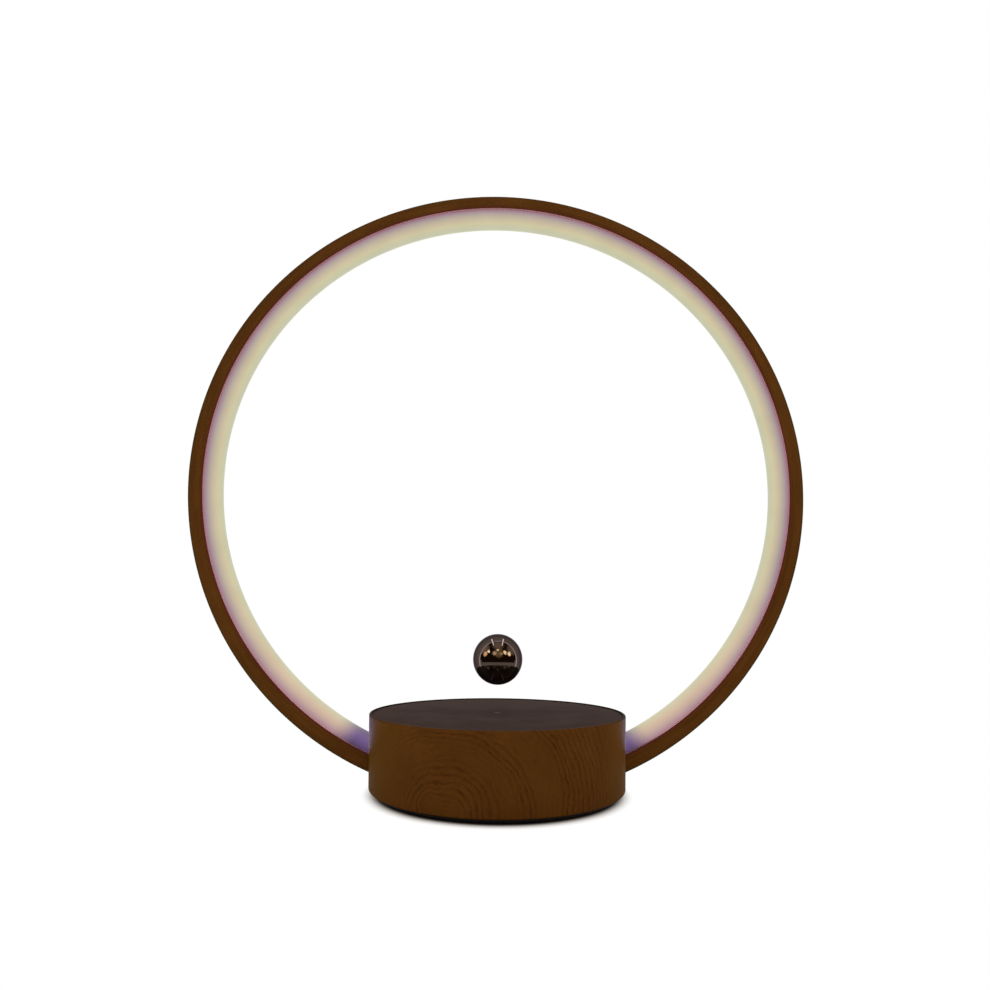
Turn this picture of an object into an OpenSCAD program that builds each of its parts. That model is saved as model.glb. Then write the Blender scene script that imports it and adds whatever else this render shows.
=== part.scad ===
// Levitating ring lamp: a round wood-grain base holds the ends of an upright
// C-shaped light ring, and a mirror ball floats over the base on a magnetic field.
// Millimetres. +Z is up, the front faces -Y, and the origin is the middle of the
// face that the lamp stands on.

/* [Base] */
// Diameter of the round base
base_d = 118; // [112:0.5:130]
// Height of the wood-grain wall
shell_h = 32; // [31:0.5:38]
// Thickness of the wall
shell_wall = 2.4; // [2:0.1:2.8]
// How much the wall leans in from its top to its foot
shell_draft = 1; // [0:0.1:1.4]
// Thickness of the rim that stands round the top plate
rim_t = 1.3; // [1:0.1:1.6]
// Rounding of the wall's outer edges
shell_edge = 0.6; // [0.3:0.1:0.8]
// Height of the wall's lower edge above the table
foot_gap = 2; // [1.6:0.1:2.6]
// Thickness of the top plate
plate_t = 2; // [1.6:0.1:2.4]
// Depth of the top plate below the rim
plate_recess = 0.5; // [0.2:0.1:0.8]
// Thickness of the bottom cover
cover_t = 3; // [2.8:0.1:3.2]
// Thickness of the non-slip ring
pad_t = 1.5; // [1.2:0.1:1.8]
// Width of the non-slip ring
pad_w = 11.4; // [9:0.1:13]
// Depth of the groove that holds the non-slip ring
pad_groove = 0.5; // [0.3:0.1:0.7]

/* [Ring] */
// Outer diameter of the light ring
ring_d = 300; // [284:1:320]
// Width of the ring from front to back
ring_w = 16; // [14:0.5:18]
// Radial height of the ring's channel
channel_h = 7.2; // [6.4:0.1:8]
// Thickness of the channel's walls
channel_wall = 1.5; // [1.2:0.1:1.8]
// Rounding of the channel's outer edges
channel_edge = 1; // [0.5:0.1:1.2]
// Height above the table at which the ring's outside enters the wall of the base
ring_entry_z = 8.77; // [8:0.1:12]
// How far the channel's ends reach in past the wall of the base
ring_insert = 9.5; // [8:0.5:11]
// How far the diffuser's ends reach in past the wall of the base
diffuser_insert = 3; // [2:0.5:4]
// Thickness of the domed diffuser
diffuser_t = 1.5; // [1:0.1:2]
// Height of the dome's centre above the channel's lips
dome_lift = 0.4; // [0:0.1:0.8]
// Number of light-emitting diodes on the strip
led_count = 72; // [48:4:84]

/* [Ball] */
// Diameter of the floating ball
ball_d = 23.5; // [22:0.5:26]
// Thickness of the ball's half shells
ball_wall = 1.2; // [1:0.1:1.5]
// Height at which the ball floats over the top plate
hover_gap = 12.6; // [8:0.1:16]
// Diameter of the magnet in the ball
ball_magnet_d = 12; // [10:0.5:13]

/* [Levitation module] */
// Room between the module's chassis and the wall, for the ring's ends and the inlet
module_gap = 19.15; // [17:0.05:24]
// How far the ring magnet starts outside half its own radius; the coils share the bore inside it
magnet_in = 5; // [3:0.5:7]
// Height of the ring magnet and of the coils
magnet_h = 14; // [12:0.5:15]
// Gap between the flanges of neighbouring coils
coil_gap = 2.2; // [1:0.1:4]
// Diameter of a coil's core
core_d = 5.2; // [4:0.1:6]
// Thickness of the circuit board
board_t = 1.6; // [1.2:0.1:2]
// How far the circuit board reaches out past the module's chassis
board_lip = 2.5; // [2:0.1:3]
// Room between the module's top and the top plate
head_room = 2.9; // [2:0.1:4]

/* [Power inlet] */
// Diameter of the inlet's bore, for a 5.5 mm plug
jack_bore = 6; // [5.6:0.1:6.2]
// Diameter of the inlet's centre pin
jack_pin = 2.1; // [1.7:0.1:2.5]
// Depth of the inlet's bore
jack_depth = 10.6; // [9:0.1:11]
// Height of the inlet above the table
jack_z = 16; // [14:0.5:19]

/* [Hidden] */
$fn = 96;

// Clearances between pieces, and how far a cutting shape runs past the face it cuts
fit_gap = 0.3;
slot_gap = 0.25;
seat_gap = 0.15;
thread_gap = 0.05;
pass_gap = 0.3;
over = 1;

// Levels of the base, from the table up
shell_z0 = foot_gap;
shell_z1 = foot_gap + shell_h;
plate_z1 = shell_z1 - plate_recess;
plate_z0 = plate_z1 - plate_t;
cover_z0 = pad_t - pad_groove;
cover_z1 = cover_z0 + cover_t;

// Radii of the base
base_r = base_d / 2;
shell_in_r = base_r - shell_wall;
rebate_r = base_r - rim_t;
plate_r = rebate_r - fit_gap / 2;
cover_r = shell_in_r - fit_gap;
pad_edge = 1.4;
pad_r1 = cover_r - pad_edge;
pad_r0 = pad_r1 - pad_w;

// Screws: shank, head and the holes they pass through
screw_r = 1.2;
head_r = 2.2;
head_h = 1.2;
pilot_r = screw_r + thread_gap;
hole_r = screw_r + pass_gap;
sink_r = head_r + pass_gap;
sink_h = head_h + seat_gap;
tip_gap = 0.5;
slot_w = 0.6;
slot_deep = 0.5;
sink_floor = pad_t;
quarters = [45, 135, 225, 315];

// Posts in the shell that take the cover's screws
post_r = 4.2;
post_bite = 0.2;
post_ring = shell_in_r + post_bite - post_r;
post_h = 14;
post_pilot = 10;

// Ring: radii and end angles, measured from straight down
ring_r = ring_d / 2;
ring_z = ring_entry_z + sqrt(pow(ring_r, 2) - pow(wall_r(ring_entry_z), 2));
floor_r = ring_r - channel_wall;
lip_r = ring_r - channel_h;
dome_side_gap = 0.1;
dome_r = ring_w / 2 - channel_wall - dome_side_gap;
dome_mid_r = lip_r - dome_lift;
channel_end = asin((shell_in_r - ring_insert) / ((ring_r + lip_r) / 2));
diffuser_end = asin((shell_in_r - diffuser_insert) / dome_mid_r);

// Strip of diodes on the channel's floor
strip_t = 0.4;
strip_side_gap = 0.4;
strip_w = 2 * (dome_r - diffuser_t - strip_side_gap);
strip_r1 = floor_r - seat_gap;
strip_r0 = strip_r1 - strip_t;
led_w = 2.8;
led_l = 3.5;
led_t = 0.7;
led_lift = 0.05;
led_margin = 2;

// Plugs that fill the channel's ends, and the cradles that carry them
plug_w = ring_w - 2 * channel_wall - 2 * seat_gap;
plug_r1 = floor_r - seat_gap;
plug_step = 0.5;
plug_r0 = lip_r + plug_step;
plug_inset = 0.3;
plug_end_gap = 0.7;
plug_end = diffuser_end - plug_end_gap;
plug_mid = (channel_end + plug_end) / 2;
plug_mid_r = (plug_r0 + plug_r1) / 2;
cheek_t = 4.5;
cradle_w = ring_w + 2 * seat_gap + 2 * cheek_t;
cradle_web = 6.1;
cradle_x0 = shell_in_r - ring_insert - cradle_web;
cradle_z1 = ring_z - (lip_r - plug_step) * cos(plug_end);
cheek_mid_y = cradle_w / 2 - cheek_t / 2;
cradle_screw_in = 4.2;
cradle_screw_x = cradle_x0 + cradle_screw_in;
cradle_pilot = 6;
ring_screw_tip = 3.5;
ring_screw_l = cradle_w / 2 - ring_screw_tip;
lead_gate_w = 5.5;

// Levels of the levitation module
standoff_h = 1.6;
standoff_r = 3.4;
board_z0 = cover_z1 + standoff_h;
board_z1 = board_z0 + board_t;
chassis_floor = 1.6;
module_z1 = plate_z0 - head_room;
module_z0 = module_z1 - magnet_h;
chassis_z0 = module_z0 - chassis_floor;
component_room = chassis_z0 - board_z1;
board_flat_gap = 2.2;
board_flat = cradle_x0 - board_flat_gap;

// Radii of the levitation module
chassis_wall = 1.3;
chassis_r = shell_in_r - module_gap;
magnet_d = 2 * (chassis_r - chassis_wall - seat_gap);
magnet_bore = magnet_d / 2 + 2 * magnet_in;
board_r = chassis_r + board_lip;
locator_r = magnet_bore / 2 - seat_gap;
locator_t = 1;
leg_r = 3;
leg_edge = 0.9;
leg_ring = chassis_r - leg_r - leg_edge;
leg_pilot = component_room + chassis_floor / 2;

// Four coils fill the magnet's bore: each flange stands clear of the locating ring and of its neighbours
coil_room_r = locator_r - locator_t - pass_gap;
coil_d = (sqrt(2) * coil_room_r - coil_gap) / (1 + sqrt(2) / 2);
coil_ring = coil_room_r - coil_d / 2;
core_r = core_d / 2;
bobbin_tube = 0.8;
bobbin_bore = core_r + seat_gap;
bobbin_hub = bobbin_bore + bobbin_tube;
flange_t = 1;
flange_lip = 0.4;
winding_r = coil_d / 2 - flange_lip;

// Components on the main board
power_chips = 4;
power_chip_l = 6.5;
power_chip_w = 6;
power_chip_h = 2.3;
power_pitch = 11;
logic_chips = 2;
logic_chip_l = 5;
logic_chip_w = 4;
logic_chip_h = 1.5;
logic_pitch = 13;
chip_row_y = 8;
can_r = 3.15;
can_gap = 0.4;
can_in = 14;
can_side = 25.95;
can_pitch = board_r - can_side;

// Sensor board on the post between the coils
hub_r = 2.8;
hall_board_r = coil_ring - coil_d / 2 - pass_gap;
hall_board_t = 1;
hall_sink = 1.2;
hall_sensor_t = 1.6;
hall_sensor_w = 4;
hall_sensor_h = 1.5;
hall_sensor_in = 1.5;
hall_z0 = module_z1 - hall_sink;

// Touch electrode on the underside of the top plate, towards the front
touch_in = 21.55;
touch_y = touch_in - plate_r;
touch_r = 9;
touch_t = 0.2;
wire_r = 0.6;
touch_wire_y = -(board_r - 2 * wire_r);

// Power inlet in the back of the wall
jack_flange_r = 5.5;
jack_flange_t = 1.1;
jack_face_sink = 0.1;
jack_wall_r = wall_r(jack_z - jack_flange_r);
jack_face_y = sqrt(pow(jack_wall_r, 2) - pow(jack_flange_r, 2)) - jack_face_sink;
jack_seat_y = jack_face_y - jack_flange_t;
jack_wall = 0.9;
jack_barrel_r = jack_bore / 2 + jack_wall;
jack_back = 3.4;
jack_y0 = jack_face_y - jack_depth - jack_back;
jack_pad_r = 8.5;
jack_pad_t = 3.2;
jack_pad_y = jack_seat_y - jack_pad_t;
jack_nut_r = 6.2;
jack_nut_t = 2.2;
jack_pin_short = 1;
jack_tab_w = 2;
jack_tab_t = 0.6;
jack_tab_l = 2;
jack_tab_x = 1.7;

// Ball: the half shells lap at the equator
ball_r = ball_d / 2;
ball_in_r = ball_r - ball_wall;
ball_z = plate_z1 + hover_gap + ball_r;
lap_h = 1.5;
lap_r = ball_in_r + ball_wall * 0.45;
lap_root = 0.3;
holder_r = ball_in_r - seat_gap;
holder_top = -lap_h - pass_gap;
magnet_pocket_r = ball_magnet_d / 2 + pass_gap;
magnet_top = holder_top - pass_gap;
holder_wall = 0.7;
pocket_z0 = -sqrt(pow(holder_r - holder_wall, 2) - pow(magnet_pocket_r, 2));
ball_magnet_h = magnet_top - pocket_z0 - pass_gap;

// Routes of the inner wires, in the plane that each pair lies in
wire_side = 1.3;
wire_rest_z = board_z1 + wire_r + seat_gap;
wire_on_board = 4;
lead_r = floor_r - slot_gap - wire_r;
led_lead_route = [
    ring_point(lead_r, diffuser_end - plug_inset / 3),
    ring_point(lead_r, plug_mid),
    ring_point(lead_r, channel_end),
    [cradle_x0 + cradle_web / 2, 0, (wire_rest_z + ring_z - lead_r * cos(channel_end)) / 2],
    [cradle_x0, 0, wire_rest_z],
    [board_flat - wire_on_board, 0, wire_rest_z]
];
drop_y = (jack_y0 - jack_tab_l + chassis_r) / 2;
jack_lead_route = [
    [0, jack_y0 - jack_tab_l - wire_r / 6, jack_z],
    [0, drop_y + wire_r, jack_z - wire_r],
    [0, drop_y, jack_z - 3 * wire_r],
    [0, drop_y, wire_rest_z + 3 * wire_r],
    [0, drop_y - wire_r, wire_rest_z + wire_r],
    [0, drop_y - 3 * wire_r, wire_rest_z],
    [0, drop_y - 3 * wire_r - wire_on_board, wire_rest_z]
];

// Helpers

// The radius of the wall's outside at a height: it leans in towards its foot
function wall_r(z) = base_r - shell_draft * (shell_z1 - z) / shell_h;

// A point in the ring's plane at a radius and an angle from straight down, on the right-hand side
function ring_point(r, angle) = [r * sin(angle), 0, ring_z - r * cos(angle)];

function unit(v) = v / norm(v);

// Puts a drawing made round the local Z axis into the upright plane of the ring
module in_ring_plane() {
    translate([0, 0, ring_z])
        rotate([90, 0, 0])
            children();
}

// Sweeps a profile (radius, depth) round the ring, leaving out an angle on each side of straight down
module ring_sweep(end_angle) {
    in_ring_plane()
        rotate([0, 0, end_angle - 90])
            rotate_extrude(angle = 360 - 2 * end_angle, $fn = 180)
                children();
}

// A profile's outer corners, rounded, between two radii and a width about the middle plane
module round_back_profile(r0, r1, w, edge) {
    translate([r0, -w / 2])
        square([r1 - edge - r0, w]);
    translate([r0, edge - w / 2])
        square([r1 - r0, w - 2 * edge]);
    for (side = [-1, 1])
        translate([r1 - edge, side * (w / 2 - edge)])
            circle(edge);
}

// The space that the ring takes as it passes into the base
module ring_envelope(gap) {
    ring_sweep(channel_end - 2) {
        round_back_profile(dome_mid_r, ring_r + gap, ring_w + 2 * gap, channel_edge);
        translate([dome_mid_r, 0])
            circle(dome_r + gap);
    }
}

// The space of the channel alone, without its dome
module channel_envelope(gap, end_angle) {
    ring_sweep(end_angle)
        translate([lip_r - over, -ring_w / 2 - gap])
            square([channel_h + over + gap, ring_w + 2 * gap]);
}

module slotted_screw(length) {
    difference() {
        union() {
            cylinder(h = head_h, r = head_r);
            cylinder(h = head_h + length, r = screw_r);
        }
        translate([-head_r - over, -slot_w / 2, -over])
            cube([2 * (head_r + over), slot_w, slot_deep + over]);
    }
}

module at_quarters(radius) {
    for (a = quarters)
        rotate([0, 0, a])
            translate([radius, 0, 0])
                children();
}

// Each end of the ring, on the right and mirrored on the left
module both_sides() {
    children();
    mirror([1, 0, 0])
        children();
}

// A bundle of straight-sided wire swept along points that lie in one plane
module wire(points, across, radius) {
    sides = 8;
    count = len(points);
    rings = [
        for (i = [0 : count - 1])
            let (
                back = points[max(i - 1, 0)],
                ahead = points[min(i + 1, count - 1)],
                out = cross(unit(ahead - back), across)
            )
            for (j = [0 : sides - 1])
                points[i] + radius * (cos(j * 360 / sides) * out + sin(j * 360 / sides) * across)
    ];
    walls = [
        for (i = [0 : count - 2], j = [0 : sides - 1])
            let (
                a = i * sides + j,
                b = i * sides + (j + 1) % sides
            )
            each [[a, b, b + sides], [a, b + sides, a + sides]]
    ];
    first_cap = [for (j = [1 : sides - 2]) [0, j + 1, j]];
    last = (count - 1) * sides;
    last_cap = [for (j = [1 : sides - 2]) [last, last + j, last + j + 1]];
    polyhedron(points = rings, faces = concat(walls, first_cap, last_cap));
}

// Base

module shell_profile() {
    foot = [base_r - shell_draft - shell_edge, shell_z0 + shell_edge];
    head = [base_r - shell_edge, shell_z1 - shell_edge];
    lean = shell_edge * unit([head[1] - foot[1], foot[0] - head[0]]);
    difference() {
        union() {
            polygon([
                [shell_in_r, shell_z0],
                [foot[0], shell_z0],
                foot + lean,
                head + lean,
                [head[0], shell_z1],
                [shell_in_r, shell_z1]
            ]);
            for (corner = [foot, head])
                translate(corner)
                    circle(shell_edge, $fn = 48);
        }
        translate([shell_in_r - over, plate_z0])
            square([rebate_r - shell_in_r + over, plate_t + plate_recess + over]);
    }
}

module base_shell() {
    color("#4d2d0f")
        difference() {
            union() {
                rotate_extrude($fn = 180)
                    shell_profile();
                at_quarters(post_ring)
                    translate([0, 0, cover_z1])
                        cylinder(h = post_h, r = post_r);
                intersection() {
                    translate([0, jack_pad_y, jack_z])
                        rotate([-90, 0, 0])
                            cylinder(h = base_r, r = jack_pad_r);
                    cylinder(h = shell_z1, r = shell_in_r + shell_wall / 2, $fn = 180);
                }
            }
            at_quarters(post_ring)
                translate([0, 0, cover_z1 - over])
                    cylinder(h = post_pilot + over, r = pilot_r);
            ring_envelope(slot_gap);
            translate([0, jack_pad_y - over, jack_z])
                rotate([-90, 0, 0])
                    cylinder(h = base_r, r = jack_barrel_r + seat_gap);
            translate([0, jack_seat_y, jack_z])
                rotate([-90, 0, 0])
                    cylinder(h = base_r, r = jack_flange_r + seat_gap);
        }
}

module top_plate() {
    chamfer = 0.3;
    color("#3f3432")
        translate([0, 0, plate_z0]) {
            cylinder(h = plate_t - chamfer, r = plate_r, $fn = 180);
            translate([0, 0, plate_t - chamfer])
                cylinder(h = chamfer, r1 = plate_r, r2 = plate_r - chamfer, $fn = 180);
        }
}

module bottom_cover() {
    color("#141414")
        difference() {
            union() {
                translate([0, 0, cover_z0])
                    cylinder(h = cover_t, r = cover_r, $fn = 180);
                at_quarters(leg_ring)
                    translate([0, 0, cover_z0])
                        cylinder(h = cover_t + standoff_h, r = standoff_r);
            }
            translate([0, 0, cover_z0 - over])
                difference() {
                    cylinder(h = pad_groove + over, r = pad_r1 + seat_gap, $fn = 180);
                    translate([0, 0, -over])
                        cylinder(h = pad_groove + 3 * over, r = pad_r0 - seat_gap, $fn = 180);
                }
            at_quarters(post_ring)
                screw_seat();
            at_quarters(leg_ring)
                screw_seat();
            both_sides()
                cradle_screw_places()
                    screw_seat();
        }
}

// Clearance hole and counterbore for a screw that goes up through the cover
module screw_seat() {
    translate([0, 0, cover_z0 - over])
        cylinder(h = cover_t + standoff_h + 2 * over, r = hole_r);
    translate([0, 0, cover_z0 - over])
        cylinder(h = sink_floor - cover_z0 + sink_h + over, r = sink_r);
}

module non_slip_ring() {
    color("#0d0d0d")
        difference() {
            cylinder(h = pad_t, r = pad_r1, $fn = 180);
            translate([0, 0, -over])
                cylinder(h = pad_t + 2 * over, r = pad_r0, $fn = 180);
        }
}

module cover_screws() {
    color("#b8b8b8")
        at_quarters(post_ring)
            translate([0, 0, sink_floor + sink_h - head_h])
                slotted_screw(cover_z1 + post_pilot - sink_floor - sink_h - tip_gap);
}

module module_screws() {
    color("#b8b8b8")
        at_quarters(leg_ring)
            translate([0, 0, sink_floor + sink_h - head_h])
                slotted_screw(board_z1 + leg_pilot - sink_floor - sink_h - tip_gap);
}

// Levitation module

module lev_chassis() {
    color("#1c1c1c")
        difference() {
            union() {
                translate([0, 0, chassis_z0])
                    cylinder(h = chassis_floor, r = chassis_r);
                translate([0, 0, module_z0])
                    difference() {
                        cylinder(h = magnet_h * 0.7, r = chassis_r);
                        translate([0, 0, -over])
                            cylinder(h = magnet_h, r = chassis_r - chassis_wall);
                    }
                translate([0, 0, module_z0])
                    difference() {
                        cylinder(h = magnet_h * 0.3, r = locator_r);
                        translate([0, 0, -over])
                            cylinder(h = magnet_h, r = locator_r - locator_t);
                    }
                translate([0, 0, module_z0])
                    cylinder(h = hall_z0 - module_z0, r = hub_r);
                at_quarters(leg_ring)
                    translate([0, 0, board_z1])
                        cylinder(h = component_room + chassis_floor / 2, r = leg_r);
            }
            at_quarters(leg_ring)
                translate([0, 0, board_z1 - over])
                    cylinder(h = leg_pilot + over, r = pilot_r);
        }
}

module field_magnet() {
    color("#2e2e30")
        translate([0, 0, module_z0])
            difference() {
                cylinder(h = magnet_h, r = magnet_d / 2);
                translate([0, 0, -over])
                    cylinder(h = magnet_h + 2 * over, r = magnet_bore / 2);
            }
}

module coil_bobbins() {
    color("#22262a")
        at_quarters(coil_ring)
            translate([0, 0, module_z0])
                difference() {
                    union() {
                        for (z = [0, magnet_h - flange_t])
                            translate([0, 0, z])
                                cylinder(h = flange_t, r = coil_d / 2);
                        cylinder(h = magnet_h, r = bobbin_hub);
                    }
                    translate([0, 0, -over])
                        cylinder(h = magnet_h + 2 * over, r = bobbin_bore);
                }
}

module coil_windings() {
    color("#b4632a")
        at_quarters(coil_ring)
            translate([0, 0, module_z0 + flange_t])
                difference() {
                    cylinder(h = magnet_h - 2 * flange_t, r = winding_r);
                    translate([0, 0, -over])
                        cylinder(h = magnet_h, r = bobbin_hub + seat_gap);
                }
}

module coil_cores() {
    color("#8c8f93")
        at_quarters(coil_ring)
            translate([0, 0, module_z0])
                cylinder(h = magnet_h, r = core_r);
}

module hall_board() {
    color("#1f5a34")
        translate([0, 0, hall_z0])
            cylinder(h = hall_board_t, r = hall_board_r);
}

module hall_sensors() {
    color("#101010")
        for (a = [90, 210, 330])
            rotate([0, 0, a])
                translate([hall_sensor_in, -hall_sensor_w / 2, hall_z0 + hall_board_t])
                    cube([hall_sensor_t, hall_sensor_w, hall_sensor_h]);
}

module main_board() {
    color("#1f5a34")
        difference() {
            intersection() {
                translate([0, 0, board_z0])
                    cylinder(h = board_t, r = board_r);
                translate([-board_flat, -board_r - over, board_z0 - over])
                    cube([2 * board_flat, 2 * (board_r + over), board_t + 2 * over]);
            }
            at_quarters(leg_ring)
                translate([0, 0, board_z0 - over])
                    cylinder(h = board_t + 2 * over, r = hole_r);
        }
}

module driver_chips() {
    color("#141414") {
        for (i = [0 : power_chips - 1])
            translate([(i - (power_chips - 1) / 2) * power_pitch - power_chip_l / 2, chip_row_y, board_z1])
                cube([power_chip_l, power_chip_w, power_chip_h]);
        for (i = [0 : logic_chips - 1])
            translate([(i - (logic_chips - 1) / 2) * logic_pitch - logic_chip_l / 2, -chip_row_y, board_z1])
                translate([0, -logic_chip_w, 0])
                    cube([logic_chip_l, logic_chip_w, logic_chip_h]);
    }
}

module capacitors() {
    color("#9da1a6")
        for (x = [-1, 0, 1])
            translate([x * can_pitch, can_in - board_r, board_z1])
                cylinder(h = component_room - can_gap, r = can_r);
}

module touch_electrode() {
    color("#b87333")
        translate([0, touch_y, plate_z0 - touch_t])
            cylinder(h = touch_t, r = touch_r);
}

module touch_lead() {
    color("#d8d8d8")
        translate([0, touch_wire_y, board_z1])
            cylinder(h = plate_z0 - touch_t - board_z1, r = wire_r);
}

// Power inlet

module dc_jack() {
    color("#161616")
        translate([0, 0, jack_z])
            rotate([-90, 0, 0])
                difference() {
                    union() {
                        translate([0, 0, jack_seat_y])
                            cylinder(h = jack_flange_t, r = jack_flange_r);
                        translate([0, 0, jack_y0])
                            cylinder(h = jack_seat_y - jack_y0, r = jack_barrel_r);
                    }
                    translate([0, 0, jack_face_y - jack_depth])
                        cylinder(h = jack_depth + over, r = jack_bore / 2);
                }
}

module dc_jack_pin() {
    color("#c9ccd0")
        translate([0, jack_face_y - jack_depth, jack_z])
            rotate([-90, 0, 0])
                cylinder(h = jack_depth - jack_pin_short, r = jack_pin / 2);
}

module dc_jack_nut() {
    color("#a9adb2")
        translate([0, jack_pad_y - jack_nut_t, jack_z])
            rotate([-90, 0, 0])
                difference() {
                    cylinder(h = jack_nut_t, r = jack_nut_r, $fn = 6);
                    translate([0, 0, -over])
                        cylinder(h = jack_nut_t + 2 * over, r = jack_barrel_r + thread_gap);
                }
}

module jack_tabs() {
    color("#c9ccd0")
        for (x = [-jack_tab_x, jack_tab_x])
            translate([x - jack_tab_w / 2, jack_y0 - jack_tab_l, jack_z - jack_tab_t / 2])
                cube([jack_tab_w, jack_tab_l, jack_tab_t]);
}

module jack_leads() {
    color("#7a1d1d")
        for (x = [-jack_tab_x, jack_tab_x])
            translate([x, 0, 0])
                wire(jack_lead_route, [1, 0, 0], wire_r);
}

// Ring

module ring_channel() {
    color("#4d2d0f")
        difference() {
            ring_sweep(channel_end)
                difference() {
                    round_back_profile(lip_r, ring_r, ring_w, channel_edge);
                    translate([lip_r - over, channel_wall - ring_w / 2])
                        square([channel_h - channel_wall + over, ring_w - 2 * channel_wall]);
                }
            both_sides()
                ring_screw_axis()
                    cylinder(h = 2 * ring_w, r = hole_r, center = true);
        }
}

// The line of the screws that hold the ring's right-hand end, along Y
module ring_screw_axis() {
    translate(ring_point(plug_mid_r, plug_mid))
        rotate([90, 0, 0])
            children();
}

module led_strip() {
    color("#e8e4d8")
        ring_sweep(diffuser_end)
            translate([strip_r0, -strip_w / 2])
                square([strip_t, strip_w]);
}

module leds() {
    first = diffuser_end + led_margin;
    step = (360 - 2 * first) / (led_count - 1);
    color("#f4d27a")
        in_ring_plane()
            for (i = [0 : led_count - 1])
                rotate([0, 0, first - 90 + i * step])
                    translate([strip_r0 - led_lift - led_t, -led_l / 2, -led_w / 2])
                        cube([led_t, led_l, led_w]);
}

// A dome with two legs that stand on the channel's floor
module diffuser() {
    leg_r1 = floor_r - seat_gap;
    color("#efe6c8")
        ring_sweep(diffuser_end)
            difference() {
                union() {
                    circle_at(dome_mid_r, dome_r);
                    translate([dome_mid_r, -dome_r])
                        square([leg_r1 - dome_mid_r, 2 * dome_r]);
                }
                circle_at(dome_mid_r, dome_r - diffuser_t);
                translate([dome_mid_r, diffuser_t - dome_r])
                    square([leg_r1 - dome_mid_r + over, 2 * (dome_r - diffuser_t)]);
            }
}

module circle_at(x, radius) {
    translate([x, 0])
        circle(radius);
}

module ring_plugs() {
    start = channel_end + plug_inset;
    color("#1c1c1c")
        both_sides()
            difference() {
                in_ring_plane()
                    rotate([0, 0, start - 90])
                        rotate_extrude(angle = plug_end - start)
                            difference() {
                                translate([plug_r0, -plug_w / 2])
                                    square([plug_r1 - plug_r0, plug_w]);
                                translate([lead_r - wire_r - seat_gap, -lead_gate_w / 2])
                                    square([channel_h, lead_gate_w]);
                            }
                ring_screw_axis()
                    cylinder(h = 2 * ring_w, r = pilot_r, center = true);
            }
}

module led_leads() {
    color("#d8d8d8")
        for (y = [-wire_side, wire_side])
            translate([0, y, 0])
                wire(led_lead_route, [0, 1, 0], wire_r);
}

module cradle_screw_places() {
    for (side = [-1, 1])
        translate([cradle_screw_x, side * cheek_mid_y, 0])
            children();
}

// Block on the cover that the ring's end drops into, with a cheek on each side of the channel
module cradle() {
    difference() {
        intersection() {
            translate([cradle_x0, -cradle_w / 2, cover_z1])
                cube([base_r, cradle_w, cradle_z1 - cover_z1]);
            cylinder(h = shell_z1, r = shell_in_r - seat_gap, $fn = 180);
        }
        channel_envelope(seat_gap, channel_end - 0.5);
        translate([cradle_x0 - over, -lead_gate_w / 2, cover_z1 - over])
            cube([ring_insert, lead_gate_w, cradle_z1]);
        ring_screw_axis()
            cylinder(h = 2 * cradle_w, r = hole_r, center = true);
        cradle_screw_places()
            translate([0, 0, cover_z1 - over])
                cylinder(h = cradle_pilot + over, r = pilot_r);
    }
}

module right_cradle() {
    color("#1c1c1c")
        cradle();
}

module left_cradle() {
    color("#1c1c1c")
        mirror([1, 0, 0])
            cradle();
}

module cradle_screws() {
    color("#b8b8b8")
        both_sides()
            cradle_screw_places()
                translate([0, 0, sink_floor + sink_h - head_h])
                    slotted_screw(cover_z1 + cradle_pilot - sink_floor - sink_h - tip_gap);
}

module ring_screws() {
    color("#b8b8b8")
        both_sides()
            for (turn = [0, 180])
                ring_screw_axis()
                    rotate([turn, 0, 0])
                        translate([0, 0, -cradle_w / 2 - head_h])
                            slotted_screw(ring_screw_l);
}

// Ball

module half_disc(radius, top) {
    intersection() {
        circle(radius);
        translate([0, top ? 0 : -2 * radius])
            square(2 * radius);
    }
}

module ball_upper_shell() {
    color("#5a524c")
        translate([0, 0, ball_z])
            rotate_extrude() {
                difference() {
                    half_disc(ball_r, true);
                    half_disc(ball_in_r, true);
                }
                translate([ball_in_r - lap_root, -lap_h])
                    square([lap_r - seat_gap / 2 - ball_in_r + lap_root, lap_h + lap_root]);
            }
}

module ball_lower_shell() {
    color("#5a524c")
        translate([0, 0, ball_z])
            rotate_extrude()
                difference() {
                    half_disc(ball_r, false);
                    circle(ball_in_r);
                    translate([0, -lap_h - seat_gap])
                        square([lap_r + seat_gap / 2, lap_h + 2 * seat_gap]);
                }
}

module magnet_holder() {
    color("#1c1c1c")
        translate([0, 0, ball_z])
            rotate_extrude()
                difference() {
                    half_disc(holder_r, false);
                    translate([0, holder_top])
                        square(2 * ball_r);
                    translate([-over, pocket_z0])
                        square([magnet_pocket_r + over, 2 * ball_r]);
                }
}

module ball_magnet() {
    color("#c4c6c9")
        translate([0, 0, ball_z + magnet_top - ball_magnet_h])
            cylinder(h = ball_magnet_h, r = ball_magnet_d / 2);
}

base_shell();
top_plate();
bottom_cover();
non_slip_ring();
cover_screws();
module_screws();
lev_chassis();
field_magnet();
coil_bobbins();
coil_windings();
coil_cores();
hall_board();
hall_sensors();
main_board();
driver_chips();
capacitors();
touch_electrode();
touch_lead();
dc_jack();
dc_jack_pin();
dc_jack_nut();
jack_tabs();
jack_leads();
ring_channel();
led_strip();
leds();
diffuser();
ring_plugs();
led_leads();
left_cradle();
right_cradle();
cradle_screws();
ring_screws();
ball_upper_shell();
ball_lower_shell();
magnet_holder();
ball_magnet();
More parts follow.
